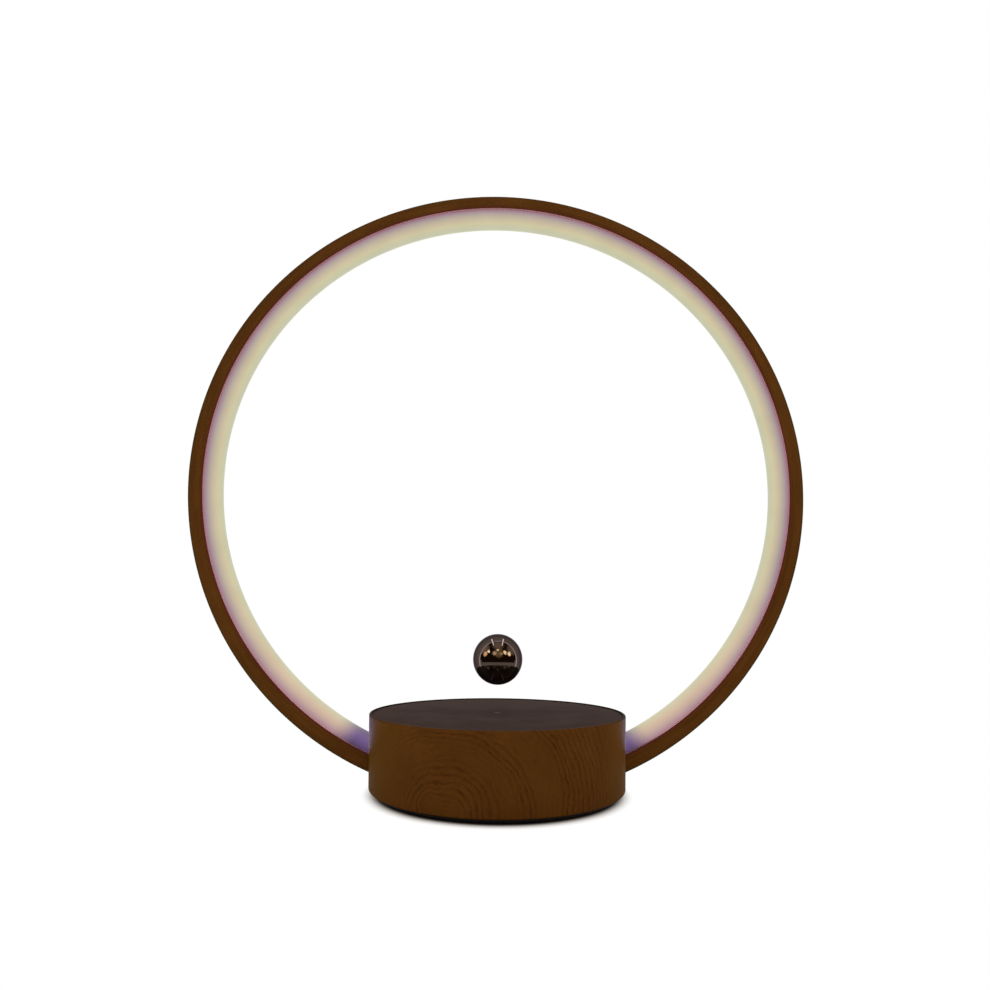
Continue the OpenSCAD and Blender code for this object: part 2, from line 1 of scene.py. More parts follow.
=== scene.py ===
import math
import bmesh
import bpy
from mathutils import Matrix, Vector


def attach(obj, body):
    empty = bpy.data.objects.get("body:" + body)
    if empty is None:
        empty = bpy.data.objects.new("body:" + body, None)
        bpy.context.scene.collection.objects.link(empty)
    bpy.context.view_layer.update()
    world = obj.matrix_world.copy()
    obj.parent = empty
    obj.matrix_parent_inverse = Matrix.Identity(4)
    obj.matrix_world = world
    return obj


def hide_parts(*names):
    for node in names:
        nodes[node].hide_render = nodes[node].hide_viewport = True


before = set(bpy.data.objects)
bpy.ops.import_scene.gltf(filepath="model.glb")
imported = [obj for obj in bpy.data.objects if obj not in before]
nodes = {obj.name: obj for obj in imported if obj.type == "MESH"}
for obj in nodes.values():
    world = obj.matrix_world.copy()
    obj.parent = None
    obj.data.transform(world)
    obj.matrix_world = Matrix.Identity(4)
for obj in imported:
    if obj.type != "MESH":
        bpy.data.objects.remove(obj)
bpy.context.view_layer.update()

# Base wall: the drum that everything is built into, with a thin rim round the top plate.
# ABS, moulded as one tube that leans in a little to its foot, and wrapped in a satin wood-grain film.
# The slots that the ring's two ends pass through and the seat of the power inlet are cut into it.
mm = 0.001
near_by = 0.02 * mm
touching = 0.001 * mm
wall_r = 59.0 * mm
foot_r = 58.0 * mm
wall_foot = 2.0 * mm
wall_top = 34.0 * mm
wall_inside = 56.6 * mm
wall_round = 0.6 * mm
rim_width = 1.3 * mm
rim_seat = 2.5 * mm
rim_round = 0.2 * mm
ring_centre = 147.014 * mm
ring_r = 150.0 * mm
ring_width = 16.0 * mm
channel_round = 1.0 * mm
dome_centre = 142.4 * mm
dome_r = 6.4 * mm
slot_gap = 0.25 * mm
inlet_height = 16.0 * mm
inlet_seat = 56.805 * mm
inlet_seat_r = 5.65 * mm
inlet_hole_r = 4.05 * mm
inlet_hole_depth = 8.0 * mm
drill_length = 20.0 * mm


def edit(piece):
    bpy.ops.object.select_all(action="DESELECT")
    piece.select_set(True)
    bpy.context.view_layer.objects.active = piece
    bpy.ops.object.mode_set(mode="EDIT")
    bpy.ops.mesh.select_all(action="DESELECT")


def pick(kind, test):
    bpy.ops.mesh.select_mode(type=kind)
    bpy.ops.mesh.select_all(action="DESELECT")
    form = bmesh.from_edit_mesh(bpy.context.edit_object.data)
    for element in {"VERT": form.verts, "EDGE": form.edges, "FACE": form.faces}[kind]:
        points = [element] if kind == "VERT" else element.verts
        element.select_set(all(test(point.co) for point in points))
    form.select_flush_mode()
    bmesh.update_edit_mesh(bpy.context.edit_object.data)


def near(value, target):
    return abs(value - target) < near_by


def out(point):
    return math.hypot(point.x, point.y)


def close_up():
    bpy.ops.mesh.select_all(action="SELECT")
    bpy.ops.mesh.remove_doubles(threshold=touching)
    bpy.ops.mesh.normals_make_consistent(inside=False)
    bpy.ops.object.mode_set(mode="OBJECT")


def apply_all(piece, angle):
    bpy.ops.object.select_all(action="DESELECT")
    piece.select_set(True)
    bpy.context.view_layer.objects.active = piece
    for modifier in list(piece.modifiers):
        bpy.ops.object.modifier_apply(modifier=modifier.name)
    bpy.ops.object.shade_smooth_by_angle(angle=math.radians(angle))


def cut(piece, cutter):
    modifier = piece.modifiers.new("cut", "BOOLEAN")
    modifier.operation = "DIFFERENCE"
    modifier.solver = "EXACT"
    modifier.object = cutter
    apply_all(piece, 30)
    bpy.data.objects.remove(cutter)


bpy.ops.object.select_all(action="DESELECT")
bpy.ops.mesh.primitive_cone_add(
    vertices=192, radius1=foot_r, radius2=wall_r, depth=wall_top - wall_foot,
    location=(0, 0, (wall_top + wall_foot) / 2)
)
base_wall = bpy.context.object
base_wall.name = "base_wall"
bpy.ops.object.transform_apply(location=True, rotation=True, scale=True)
edit(base_wall)
pick("FACE", lambda p: near(p.z, wall_top))
bpy.ops.mesh.inset(thickness=rim_width)
bpy.ops.mesh.extrude_region_move(TRANSFORM_OT_translate={"value": (0, 0, -rim_seat)})
bpy.ops.mesh.inset(thickness=wall_r - rim_width - wall_inside)
pick("FACE", lambda p: near(p.z, wall_foot))
bpy.ops.mesh.inset(thickness=foot_r - wall_inside)
pick("FACE", lambda p: near(out(p), wall_inside))
bpy.ops.mesh.bridge_edge_loops()
for level, edge_r, rounding in (
    (wall_top, wall_r, wall_round),
    (wall_foot, foot_r, wall_round),
    (wall_top, wall_r - rim_width, rim_round),
):
    pick("EDGE", lambda p: near(p.z, level) and near(out(p), edge_r))
    bpy.ops.mesh.bevel(offset=rounding, segments=5, profile=0.5)
close_up()

bpy.ops.mesh.primitive_plane_add(
    size=1, rotation=(0, math.pi / 2, 0),
    location=(0, 0, ring_centre + (ring_r + dome_centre + slot_gap) / 2)
)
slot_cutter = bpy.context.object
slot_cutter.scale = (ring_r + slot_gap - dome_centre, ring_width + 2 * slot_gap, 1)
bpy.ops.object.transform_apply(location=True, rotation=True, scale=True)
edit(slot_cutter)
pick("VERT", lambda p: p.z > ring_centre + ring_r)
bpy.ops.mesh.bevel(affect="VERTICES", offset=channel_round, segments=5, profile=0.5)
bpy.ops.mesh.select_all(action="SELECT")
bpy.ops.mesh.spin(
    steps=256, angle=2 * math.pi, center=(0, 0, ring_centre), axis=(0, 1, 0), use_auto_merge=True
)
pick("FACE", lambda p: abs(p.x) < touching and p.z > ring_centre)
bpy.ops.mesh.delete(type="FACE")
close_up()
cut(base_wall, slot_cutter)

bpy.ops.mesh.primitive_torus_add(
    major_segments=256, minor_segments=64, major_radius=dome_centre, minor_radius=dome_r + slot_gap,
    location=(0, 0, ring_centre), rotation=(math.pi / 2, 0, 0)
)
cut(base_wall, bpy.context.object)

for hole_r, hole_from in ((inlet_seat_r, inlet_seat), (inlet_hole_r, inlet_seat - inlet_hole_depth)):
    bpy.ops.mesh.primitive_cylinder_add(
        vertices=96, radius=hole_r, depth=drill_length, rotation=(math.pi / 2, 0, 0),
        location=(0, hole_from + drill_length / 2, inlet_height)
    )
    cut(base_wall, bpy.context.object)


def srgb(text):
    parts = [int(text[i:i + 2], 16) / 255 for i in (1, 3, 5)]
    return [p / 12.92 if p <= 0.04045 else ((p + 0.055) / 1.055) ** 2.4 for p in parts] + [1]


# A ramp starts with two stops, so its first and last are given before the rest.
def add(tree, kind, links, stops=(), **settings):
    node = tree.nodes.new("ShaderNode" + kind)
    for name, value in settings.items():
        setattr(node, name, value)
    for place, (position, colour) in enumerate(stops):
        ramp = node.color_ramp.elements
        stop = ramp[place] if place < 2 else ramp.new(position)
        stop.position = position
        stop.color = srgb(colour)
    for socket, source in links.items():
        if isinstance(source, bpy.types.NodeSocket):
            tree.links.new(source, node.inputs[socket])
        else:
            node.inputs[socket].default_value = source
    return node


def paint(name):
    finish = bpy.data.materials.new(name)
    finish.use_nodes = True
    tree = finish.node_tree
    coords = add(tree, "TexCoord", {})
    place = add(tree, "VectorMath", {0: coords.outputs["Object"], "Scale": 1000.0}, operation="SCALE")
    return finish, tree, tree.nodes["Principled BSDF"], place.outputs[0]


def wear(piece, finish):
    piece.data.materials.clear()
    piece.data.materials.append(finish)


# The film is printed PVC, rolled on and lightly embossed: satin, dark brown, with low contrast. Ragged
# growth lines, with small pores along them, arch round a heart low on the left of the front, in bundles
# with paler wood between. Painted over that: an olive tone towards the left and right sides, standing in
# for the film's look at a glancing angle, a painted violet glow over the slots from the dome's light, and
# painted shade on the rim's top and inside face.
heart_aside = 22.0
heart_height = 4.0
heart_flat = 3.0
line_spacing = 2.3
film, t, skin, place = paint("satin_wood_grain_film")
axes = add(t, "SeparateXYZ", {0: place}).outputs
forward = add(t, "Math", {0: axes[1], 1: -1.0}, operation="MULTIPLY").outputs[0]
turn = add(t, "Math", {0: axes[0], 1: forward}, operation="ARCTAN2").outputs[0]
round_wall = add(t, "Math", {0: turn, 1: wall_r / mm}, operation="MULTIPLY").outputs[0]
flat = add(t, "CombineXYZ", {0: round_wall, 1: axes[2]}).outputs[0]
sway = add(t, "TexNoise", {"Vector": flat, "Scale": 0.06, "Detail": 1.0}).outputs["Color"]
sway = add(t, "VectorMath", {
    0: sway, 1: (5, 5, 0), 2: (-2.5, -2.5, 0)
}, operation="MULTIPLY_ADD").outputs[0]
shiver = add(t, "TexNoise", {
    "Vector": flat, "Scale": 0.4, "Detail": 3.0, "Roughness": 0.75
}).outputs["Color"]
shiver = add(t, "VectorMath", {
    0: shiver, 1: (2.8, 2.8, 0), 2: (-1.4, -1.4, 0)
}, operation="MULTIPLY_ADD").outputs[0]
bent = add(t, "VectorMath", {0: flat, 1: sway}, operation="ADD").outputs[0]
bent = add(t, "VectorMath", {0: bent, 1: shiver}, operation="ADD").outputs[0]
sides = add(t, "SeparateXYZ", {0: bent}).outputs
off_heart = add(t, "Math", {0: sides[0], 1: 0.95, 2: heart_aside}, operation="MULTIPLY_ADD").outputs[0]
over_heart = add(t, "Math", {0: sides[1], 1: heart_height}, operation="SUBTRACT").outputs[0]
bearing = add(t, "Math", {0: over_heart, 1: off_heart}, operation="ARCTAN2").outputs[0]
bearing = add(t, "Math", {0: bearing}, operation="ABSOLUTE").outputs[0]
off_heart = add(t, "Math", {0: off_heart}, operation="ABSOLUTE").outputs[0]
off_heart = add(t, "Math", {0: off_heart, 1: heart_flat}, operation="SUBTRACT").outputs[0]
off_heart = add(t, "Math", {0: off_heart, 1: 0.0}, operation="MAXIMUM").outputs[0]
heart = add(t, "CombineXYZ", {0: off_heart, 1: over_heart}).outputs[0]
reach = add(t, "VectorMath", {0: heart}, operation="LENGTH").outputs["Value"]
along = add(t, "Math", {0: bearing, 1: reach}, operation="MULTIPLY").outputs[0]
grain = add(t, "CombineXYZ", {0: reach, 1: along}).outputs[0]
drift = add(t, "VectorMath", {0: grain, 1: (0.11, 0.03, 0)}, operation="MULTIPLY").outputs[0]
drift = add(t, "TexNoise", {"Vector": drift, "Scale": 1.0, "Detail": 1.0}).outputs[0]
growth = add(t, "Math", {0: reach, 1: 2 * math.pi / line_spacing}, operation="MULTIPLY").outputs[0]
growth = add(t, "Math", {0: drift, 1: 8.0, 2: growth}, operation="MULTIPLY_ADD").outputs[0]
growth = add(t, "Math", {0: growth}, operation="SINE").outputs[0]
lines = add(t, "MapRange", {0: growth, 1: -0.3, 2: 0.9}, interpolation_type="SMOOTHSTEP").outputs[0]
bundle = add(t, "MapRange", {0: reach, 1: 0.0, 2: 80.0}).outputs[0]
bundle = add(t, "ValToRGB", {0: bundle}, stops=(
    (0.03, "#303030"), (1.0, "#909090"), (0.09, "#f0f0f0"), (0.2, "#e0e0e0"), (0.24, "#686868"),
    (0.3, "#787878"), (0.33, "#f0f0f0"), (0.38, "#f0f0f0"), (0.42, "#484848"), (0.51, "#404040"),
    (0.545, "#ffffff"), (0.75, "#d8d8d8")
)).outputs[0]
streak = add(t, "VectorMath", {0: grain, 1: (1.1, 0.24, 0)}, operation="MULTIPLY").outputs[0]
streak = add(t, "TexNoise", {"Vector": streak, "Scale": 1.0, "Detail": 3.0, "Roughness": 0.6}).outputs[0]
broken = add(t, "MapRange", {0: streak, 1: 0.38, 2: 0.58, 3: 0.05, 4: 1.0}).outputs[0]
lines = add(t, "Math", {0: lines, 1: broken}, operation="MULTIPLY").outputs[0]
lines = add(t, "Math", {0: lines, 1: bundle}, operation="MULTIPLY").outputs[0]
faint = add(t, "MapRange", {
    0: bearing, 1: 1.5, 2: 2.4, 3: 0.0, 4: 0.8
}, interpolation_type="SMOOTHSTEP").outputs[0]
inner = add(t, "Math", {0: reach, 1: 30.0}, operation="SUBTRACT").outputs[0]
inner = add(t, "Math", {0: inner}, operation="ABSOLUTE").outputs[0]
inner = add(t, "MapRange", {0: inner, 1: 10.0, 2: 18.0, 3: 1.0, 4: 0.0}).outputs[0]
faint = add(t, "Math", {0: faint, 1: inner}, operation="MULTIPLY").outputs[0]
faint = add(t, "Math", {0: 1.0, 1: faint}, operation="SUBTRACT").outputs[0]
lines = add(t, "Math", {0: lines, 1: faint}, operation="MULTIPLY").outputs[0]
pores = add(t, "VectorMath", {0: grain, 1: (2.6, 0.3, 0)}, operation="MULTIPLY").outputs[0]
pores = add(t, "TexNoise", {"Vector": pores, "Scale": 1.0, "Detail": 2.0}).outputs[0]
pores = add(t, "MapRange", {0: pores, 1: 0.52, 2: 0.68}).outputs[0]
cloud = add(t, "TexNoise", {"Vector": flat, "Scale": 0.06, "Detail": 3.0}).outputs[0]
ground = add(t, "ValToRGB", {0: cloud}, stops=((0.3, "#492a0b"), (0.7, "#502f0e"))).outputs[0]
lined = add(t, "Math", {0: lines, 1: 0.8}, operation="MULTIPLY").outputs[0]
toned = add(t, "MixRGB", {0: lined, 1: ground, 2: srgb("#341b05")}).outputs[0]
lined = add(t, "MapRange", {0: streak, 1: 0.5, 2: 0.3, 3: 0.0, 4: 0.5}).outputs[0]
toned = add(t, "MixRGB", {0: lined, 1: toned, 2: srgb("#3f2208")}).outputs[0]
lined = add(t, "Math", {0: pores, 1: 0.3}, operation="MULTIPLY").outputs[0]
toned = add(t, "MixRGB", {0: lined, 1: toned, 2: srgb("#341b06")}).outputs[0]
aside = add(t, "Math", {0: axes[0]}, operation="ABSOLUTE").outputs[0]
# Painted tone: the film is tinted olive towards the left and right sides, standing in for its look at a
# glancing angle.
olive = add(t, "MapRange", {0: aside, 1: 40.0, 2: 57.0, 3: 0.0, 4: 0.75}).outputs[0]
toned = add(t, "MixRGB", {0: olive, 1: toned, 2: srgb("#4e3202")}).outputs[0]
# Painted glow: violet high on the wall beside the slots, standing in for the light the dome throws on it.
beside = add(t, "MapRange", {0: aside, 1: 52.5, 2: 58.5, 3: 0.0, 4: 0.65}).outputs[0]
high = add(t, "MapRange", {0: axes[2], 1: 16.0, 2: 30.0}, interpolation_type="SMOOTHSTEP").outputs[0]
beside = add(t, "Math", {0: beside, 1: high}, operation="MULTIPLY").outputs[0]
toned = add(t, "MixRGB", {0: beside, 1: toned, 2: srgb("#46385e")}).outputs[0]
across = add(t, "CombineXYZ", {0: axes[0], 1: axes[1]}).outputs[0]
across = add(t, "VectorMath", {0: across}, operation="LENGTH").outputs["Value"]
# Painted shade: the rim's inside face, over the plate, is painted near-black.
over = add(t, "MapRange", {0: across, 1: 58.2, 2: 57.9, 3: 0.0, 4: 0.9}).outputs[0]
top = add(t, "MapRange", {0: axes[2], 1: 33.0, 2: 33.3}).outputs[0]
over = add(t, "Math", {0: over, 1: top}, operation="MULTIPLY").outputs[0]
toned = add(t, "MixRGB", {0: over, 1: toned, 2: srgb("#1a130e")}).outputs[0]
# Painted shade: the rim's top is darkened, more so towards the left and right sides.
crest = add(t, "MapRange", {0: axes[2], 1: 33.5, 2: 33.8}).outputs[0]
painted_rim_shade = add(t, "MapRange", {0: aside, 1: 38.0, 2: 55.0, 3: 0.25, 4: 0.9}).outputs[0]
crest = add(t, "Math", {0: crest, 1: painted_rim_shade}, operation="MULTIPLY").outputs[0]
toned = add(t, "MixRGB", {0: crest, 1: toned, 2: srgb("#20160d")}).outputs[0]
t.links.new(toned, skin.inputs["Base Color"])
gloss = add(t, "MapRange", {0: streak, 1: 0.3, 2: 0.7, 3: 0.5, 4: 0.62}).outputs[0]
t.links.new(gloss, skin.inputs["Roughness"])
skin.inputs["Specular IOR Level"].default_value = 0.008
press = add(t, "Math", {0: lines, 1: pores}, operation="ADD").outputs[0]
press = add(t, "Bump", {"Height": press, "Strength": 0.3, "Distance": 0.00004}, invert=True).outputs[0]
t.links.new(press, skin.inputs["Normal"])
wear(base_wall, film)
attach(base_wall, "base")
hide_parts("base_shell")

# Top plate: a dark satin disc that lies in the rim, over the levitation module and the touch electrode.
# Cast acrylic, tinted brown-black and etched on top, with a slightly broken edge and a small centre dot.
# Pressed into the rim's seat, half a millimetre below the rim's top.
plate_r = 57.55 * mm
plate_low = 31.5 * mm
plate_high = 33.5 * mm
plate_round = 0.3 * mm
plate_border = 2.0 * mm
bpy.ops.object.select_all(action="DESELECT")
bpy.ops.mesh.primitive_cylinder_add(
    vertices=192, radius=plate_r, depth=plate_high - plate_low,
    location=(0, 0, (plate_high + plate_low) / 2)
)
top_plate = bpy.context.object
top_plate.name = "satin_top_plate"
bpy.ops.object.transform_apply(location=True, rotation=True, scale=True)
edit(top_plate)
pick("EDGE", lambda p: near(p.z, plate_high))
bpy.ops.mesh.bevel(offset=plate_round, segments=4, profile=0.5)
pick("FACE", lambda p: near(p.z, plate_high))
bpy.ops.mesh.inset(thickness=plate_border)
close_up()
apply_all(top_plate, 30)

# Etching leaves the acrylic even and dark, with a fine grain and no mirror images, also at a flat angle,
# so it has roughness and grain but no specular level. It is painted a little paler towards the back, a
# painted falloff of the light across it. A faint gloss on it shows only in the mirror of the ball.
acrylic, t, skin, place = paint("etched_tinted_acrylic")
axes = add(t, "SeparateXYZ", {0: place}).outputs
# Random tone plus a painted light gradient, paler towards the back.
mottle_and_painted_light = add(t, "TexNoise", {"Vector": place, "Scale": 0.06, "Detail": 4.0}).outputs[0]
mottle_and_painted_light = add(t, "Math", {0: axes[1], 1: 0.009, 2: mottle_and_painted_light}, operation="MULTIPLY_ADD").outputs[0]
tint = add(t, "ValToRGB", {0: mottle_and_painted_light}, stops=((0.1, "#382d2a"), (0.7, "#433835"))).outputs[0]
grain = add(t, "TexNoise", {"Vector": place, "Scale": 2.5, "Detail": 3.0, "Roughness": 0.6}).outputs[0]
speck = add(t, "MapRange", {0: grain, 1: 0.35, 2: 0.65, 3: 0.0, 4: 0.25}).outputs[0]
tint = add(t, "MixRGB", {0: speck, 1: tint, 2: srgb("#372d2a")}).outputs[0]
spread = add(t, "CombineXYZ", {0: axes[0], 1: axes[1]}).outputs[0]
spread = add(t, "VectorMath", {0: spread}, operation="LENGTH").outputs["Value"]
dot = add(t, "MapRange", {0: spread, 1: 2.0, 2: 1.2, 3: 0.0, 4: 0.6}).outputs[0]
tint = add(t, "MixRGB", {0: dot, 1: tint, 2: srgb("#645954")}).outputs[0]
t.links.new(tint, skin.inputs["Base Color"])
satin = add(t, "MapRange", {0: grain, 1: 0.3, 2: 0.7, 3: 0.42, 4: 0.55}).outputs[0]
t.links.new(satin, skin.inputs["Roughness"])
skin.inputs["IOR"].default_value = 1.49
skin.inputs["Specular IOR Level"].default_value = 0.0
mirrored = add(t, "LightPath", {}).outputs["Is Glossy Ray"]
gloss = add(t, "MapRange", {0: mirrored, 3: 0.0, 4: 0.5}).outputs[0]
t.links.new(gloss, skin.inputs["Coat Weight"])
skin.inputs["Coat Roughness"].default_value = 0.08
press = add(t, "Bump", {"Height": grain, "Strength": 0.2, "Distance": 0.00003}).outputs[0]
t.links.new(press, skin.inputs["Normal"])
wear(top_plate, acrylic)
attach(top_plate, "base")
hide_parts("top_plate")

# Bottom cover: the round lid under the drum, with a groove for the foot ring and sunk screw holes.
# Injection-moulded ABS, black, with the fine matt texture that a spark-eroded mould leaves.
# Screwed up into four posts of the wall; the foot ring is glued into its groove.
abs_black, t, skin, place = paint("moulded_black_abs")
grit = add(t, "TexNoise", {"Vector": place, "Scale": 2.2, "Detail": 3.0, "Roughness": 0.65}).outputs[0]
tint = add(t, "ValToRGB", {0: grit}, stops=((0.3, "#0e0b0b"), (0.7, "#1b1717"))).outputs[0]
t.links.new(tint, skin.inputs["Base Color"])
matt = add(t, "MapRange", {0: grit, 1: 0.3, 2: 0.7, 3: 0.5, 4: 0.68}).outputs[0]
t.links.new(matt, skin.inputs["Roughness"])
skin.inputs["IOR"].default_value = 1.53
skin.inputs["Specular IOR Level"].default_value = 0.1
press = add(t, "Bump", {"Height": grit, "Strength": 0.35, "Distance": 0.00006}).outputs[0]
t.links.new(press, skin.inputs["Normal"])
wear(nodes["bottom_cover"], abs_black)

# Foot ring: the flat non-slip ring that the lamp stands on.
# Closed-cell EVA foam, black, die-cut from sheet, so its face shows small cells.
# Glued into the cover's groove.
eva, t, skin, place = paint("die_cut_eva_foam")
cells = add(t, "TexVoronoi", {"Vector": place, "Scale": 1.6}).outputs["Distance"]
cells = add(t, "MapRange", {0: cells, 1: 0.0, 2: 0.6, 3: 0.0, 4: 1.0}).outputs[0]
tint = add(t, "ValToRGB", {0: cells}, stops=((0.1, "#0a0808"), (0.9, "#1e1b1a"))).outputs[0]
t.links.new(tint, skin.inputs["Base Color"])
matt = add(t, "MapRange", {0: cells, 1: 0.0, 2: 1.0, 3: 0.95, 4: 0.78}).outputs[0]
t.links.new(matt, skin.inputs["Roughness"])
skin.inputs["IOR"].default_value = 1.48
skin.inputs["Specular IOR Level"].default_value = 0.08
press = add(t, "Bump", {"Height": cells, "Strength": 0.4, "Distance": 0.0001}).outputs[0]
t.links.new(press, skin.inputs["Normal"])
wear(nodes["non_slip_ring"], eva)

# Power inlet: a round panel socket low in the back of the wall, with a centre pin, held by a nut inside.
# The socket is moulded nylon, black and smooth; the pin, nut and tabs are nickel-plated brass.
# Pushed in from outside until its flange sits in the wall's seat, and drawn tight by the nut.
nylon, t, skin, place = paint("moulded_black_nylon")
swirl = add(t, "TexNoise", {"Vector": place, "Scale": 0.8, "Detail": 4.0}).outputs[0]
tint = add(t, "ValToRGB", {0: swirl}, stops=((0.3, "#121110"), (0.7, "#1f1d1c"))).outputs[0]
t.links.new(tint, skin.inputs["Base Color"])
satin = add(t, "MapRange", {0: swirl, 1: 0.3, 2: 0.7, 3: 0.3, 4: 0.42}).outputs[0]
t.links.new(satin, skin.inputs["Roughness"])
skin.inputs["IOR"].default_value = 1.53
wear(nodes["dc_jack"], nylon)
nickel, t, skin, place = paint("bright_nickel_plate")
grey = add(t, "TexNoise", {"Vector": place, "Scale": 1.5, "Detail": 3.0}).outputs[0]
tint = add(t, "ValToRGB", {0: grey}, stops=((0.3, "#b5b1a8"), (0.7, "#cfcbc2"))).outputs[0]
t.links.new(tint, skin.inputs["Base Color"])
bright = add(t, "MapRange", {0: grey, 1: 0.3, 2: 0.7, 3: 0.18, 4: 0.3}).outputs[0]
t.links.new(bright, skin.inputs["Roughness"])
skin.inputs["Metallic"].default_value = 1.0
for name in ("dc_jack_pin", "dc_jack_nut", "jack_tabs", "ball_magnet"):
    wear(nodes[name], nickel)

# Ring channel: the large upright ring, open towards its middle, whose two ends go into the base.
# Extruded U-profile, rolled to a circle and wrapped in the same wood-grain film, with the grain along it.
# Its ends pass through the wall's slots and are plugged, cradled and screwed inside.
lip_r = 142.8 * mm
floor_r = 148.5 * mm
lip_round = 0.3 * mm
channel_wall = 1.5 * mm
halves_weld = 0.01 * mm
channel_end = math.radians(18.77)
bpy.ops.object.select_all(action="DESELECT")
bpy.ops.mesh.primitive_plane_add(
    size=1, rotation=(0, math.pi / 2, 0), location=(0, 0, ring_centre + (ring_r + lip_r) / 2)
)
channel = bpy.context.object
channel.name = "ring_channel_wrap"
channel.scale = (ring_r - lip_r, ring_width, 1)
bpy.ops.object.transform_apply(location=True, rotation=True, scale=True)
edit(channel)
bpy.ops.mesh.select_all(action="SELECT")
bpy.ops.mesh.subdivide(number_cuts=2)
for side in (-1, 1):
    pick("VERT", lambda p: near(p.y, side * ring_width / 6))
    bpy.ops.transform.translate(value=(0, side * (ring_width / 2 - channel_wall - ring_width / 6), 0))
pick("VERT", lambda p: near(p.z, ring_centre + (2 * ring_r + lip_r) / 3))
bpy.ops.transform.translate(value=(0, 0, floor_r - (2 * ring_r + lip_r) / 3))
pick("FACE", lambda p: abs(p.y) < ring_width / 2 - near_by and p.z < ring_centre + floor_r + near_by)
bpy.ops.mesh.delete(type="FACE")
for corner_r, rounding in ((ring_r, channel_round), (lip_r, lip_round)):
    pick("VERT", lambda p: near(p.z, ring_centre + corner_r) and near(abs(p.y), ring_width / 2))
    bpy.ops.mesh.bevel(affect="VERTICES", offset=rounding, segments=5, profile=0.5)
bpy.ops.mesh.select_all(action="SELECT")
bpy.ops.mesh.spin(steps=150, angle=math.pi - channel_end, center=(0, 0, ring_centre), axis=(0, 1, 0))
pick("FACE", lambda p: abs(p.x) < touching)
bpy.ops.mesh.delete(type="FACE")
bpy.ops.object.mode_set(mode="OBJECT")
mirror = channel.modifiers.new("other_half", "MIRROR")
mirror.merge_threshold = halves_weld
apply_all(channel, 35)
edit(channel)
close_up()

# The grain runs along the ring in long faint streaks. The film is painted darker and greener on the outer
# edges, a painted shade where they round away from the light, and red-brown near the lips, a painted glow
# where the lit dome shines through it. It stops just short of the lips, whose bare edge is painted pink
# with the dome's glow beside it, and painted dark near the base, where the dome is dim.
streak_r = 146.0
ring_film, t, skin, place = paint("satin_wood_grain_film_along")
axes = add(t, "SeparateXYZ", {0: place}).outputs
rise = add(t, "Math", {0: axes[2], 1: ring_centre / mm}, operation="SUBTRACT").outputs[0]
turn = add(t, "Math", {0: axes[0], 1: rise}, operation="ARCTAN2").outputs[0]
along = add(t, "Math", {0: turn, 1: streak_r}, operation="MULTIPLY").outputs[0]
arm = add(t, "CombineXYZ", {0: axes[0], 1: rise}).outputs[0]
ring_out = add(t, "VectorMath", {0: arm}, operation="LENGTH").outputs["Value"]
grain = add(t, "CombineXYZ", {0: along, 1: ring_out, 2: axes[1]}).outputs[0]
growth = add(t, "VectorMath", {0: grain, 1: (0.018, 0.42, 0.42)}, operation="MULTIPLY").outputs[0]
growth = add(t, "TexNoise", {"Vector": growth, "Scale": 1.0, "Detail": 3.0, "Roughness": 0.6}).outputs[0]
lines = add(t, "MapRange", {0: growth, 1: 0.52, 2: 0.36, 3: 0.0, 4: 0.5}).outputs[0]
fine = add(t, "VectorMath", {0: grain, 1: (0.06, 1.8, 1.8)}, operation="MULTIPLY").outputs[0]
fine = add(t, "TexNoise", {"Vector": fine, "Scale": 1.0, "Detail": 3.0, "Roughness": 0.6}).outputs[0]
fine = add(t, "MapRange", {0: fine, 1: 0.58, 2: 0.36, 3: 0.0, 4: 0.4}).outputs[0]
cloud = add(t, "VectorMath", {0: grain, 1: (0.05, 0.1, 0.1)}, operation="MULTIPLY").outputs[0]
cloud = add(t, "TexNoise", {"Vector": cloud, "Scale": 1.0, "Detail": 3.0}).outputs[0]
ground = add(t, "ValToRGB", {0: cloud}, stops=((0.3, "#4c2b0d"), (0.7, "#543210"))).outputs[0]
toned = add(t, "MixRGB", {0: lines, 1: ground, 2: srgb("#3d2209")}).outputs[0]
toned = add(t, "MixRGB", {0: fine, 1: toned, 2: srgb("#3f240a")}).outputs[0]
# Painted shade: darker, greener film on the rounded outer edges.
side_on = add(t, "Math", {0: axes[1]}, operation="ABSOLUTE").outputs[0]
outer = add(t, "Math", {0: side_on, 1: ring_out}, operation="ADD").outputs[0]
outer = add(t, "MapRange", {0: outer, 1: 156.6, 2: 157.4, 3: 0.0, 4: 0.85}).outputs[0]
toned = add(t, "MixRGB", {0: outer, 1: toned, 2: srgb("#38290f")}).outputs[0]
# Painted glow: red-brown film near the lips, beside the lit dome.
lip = add(t, "MapRange", {0: ring_out, 1: 144.2, 2: 143.4, 3: 0.0, 4: 0.9}).outputs[0]
toned = add(t, "MixRGB", {0: lip, 1: toned, 2: srgb("#4d2016")}).outputs[0]
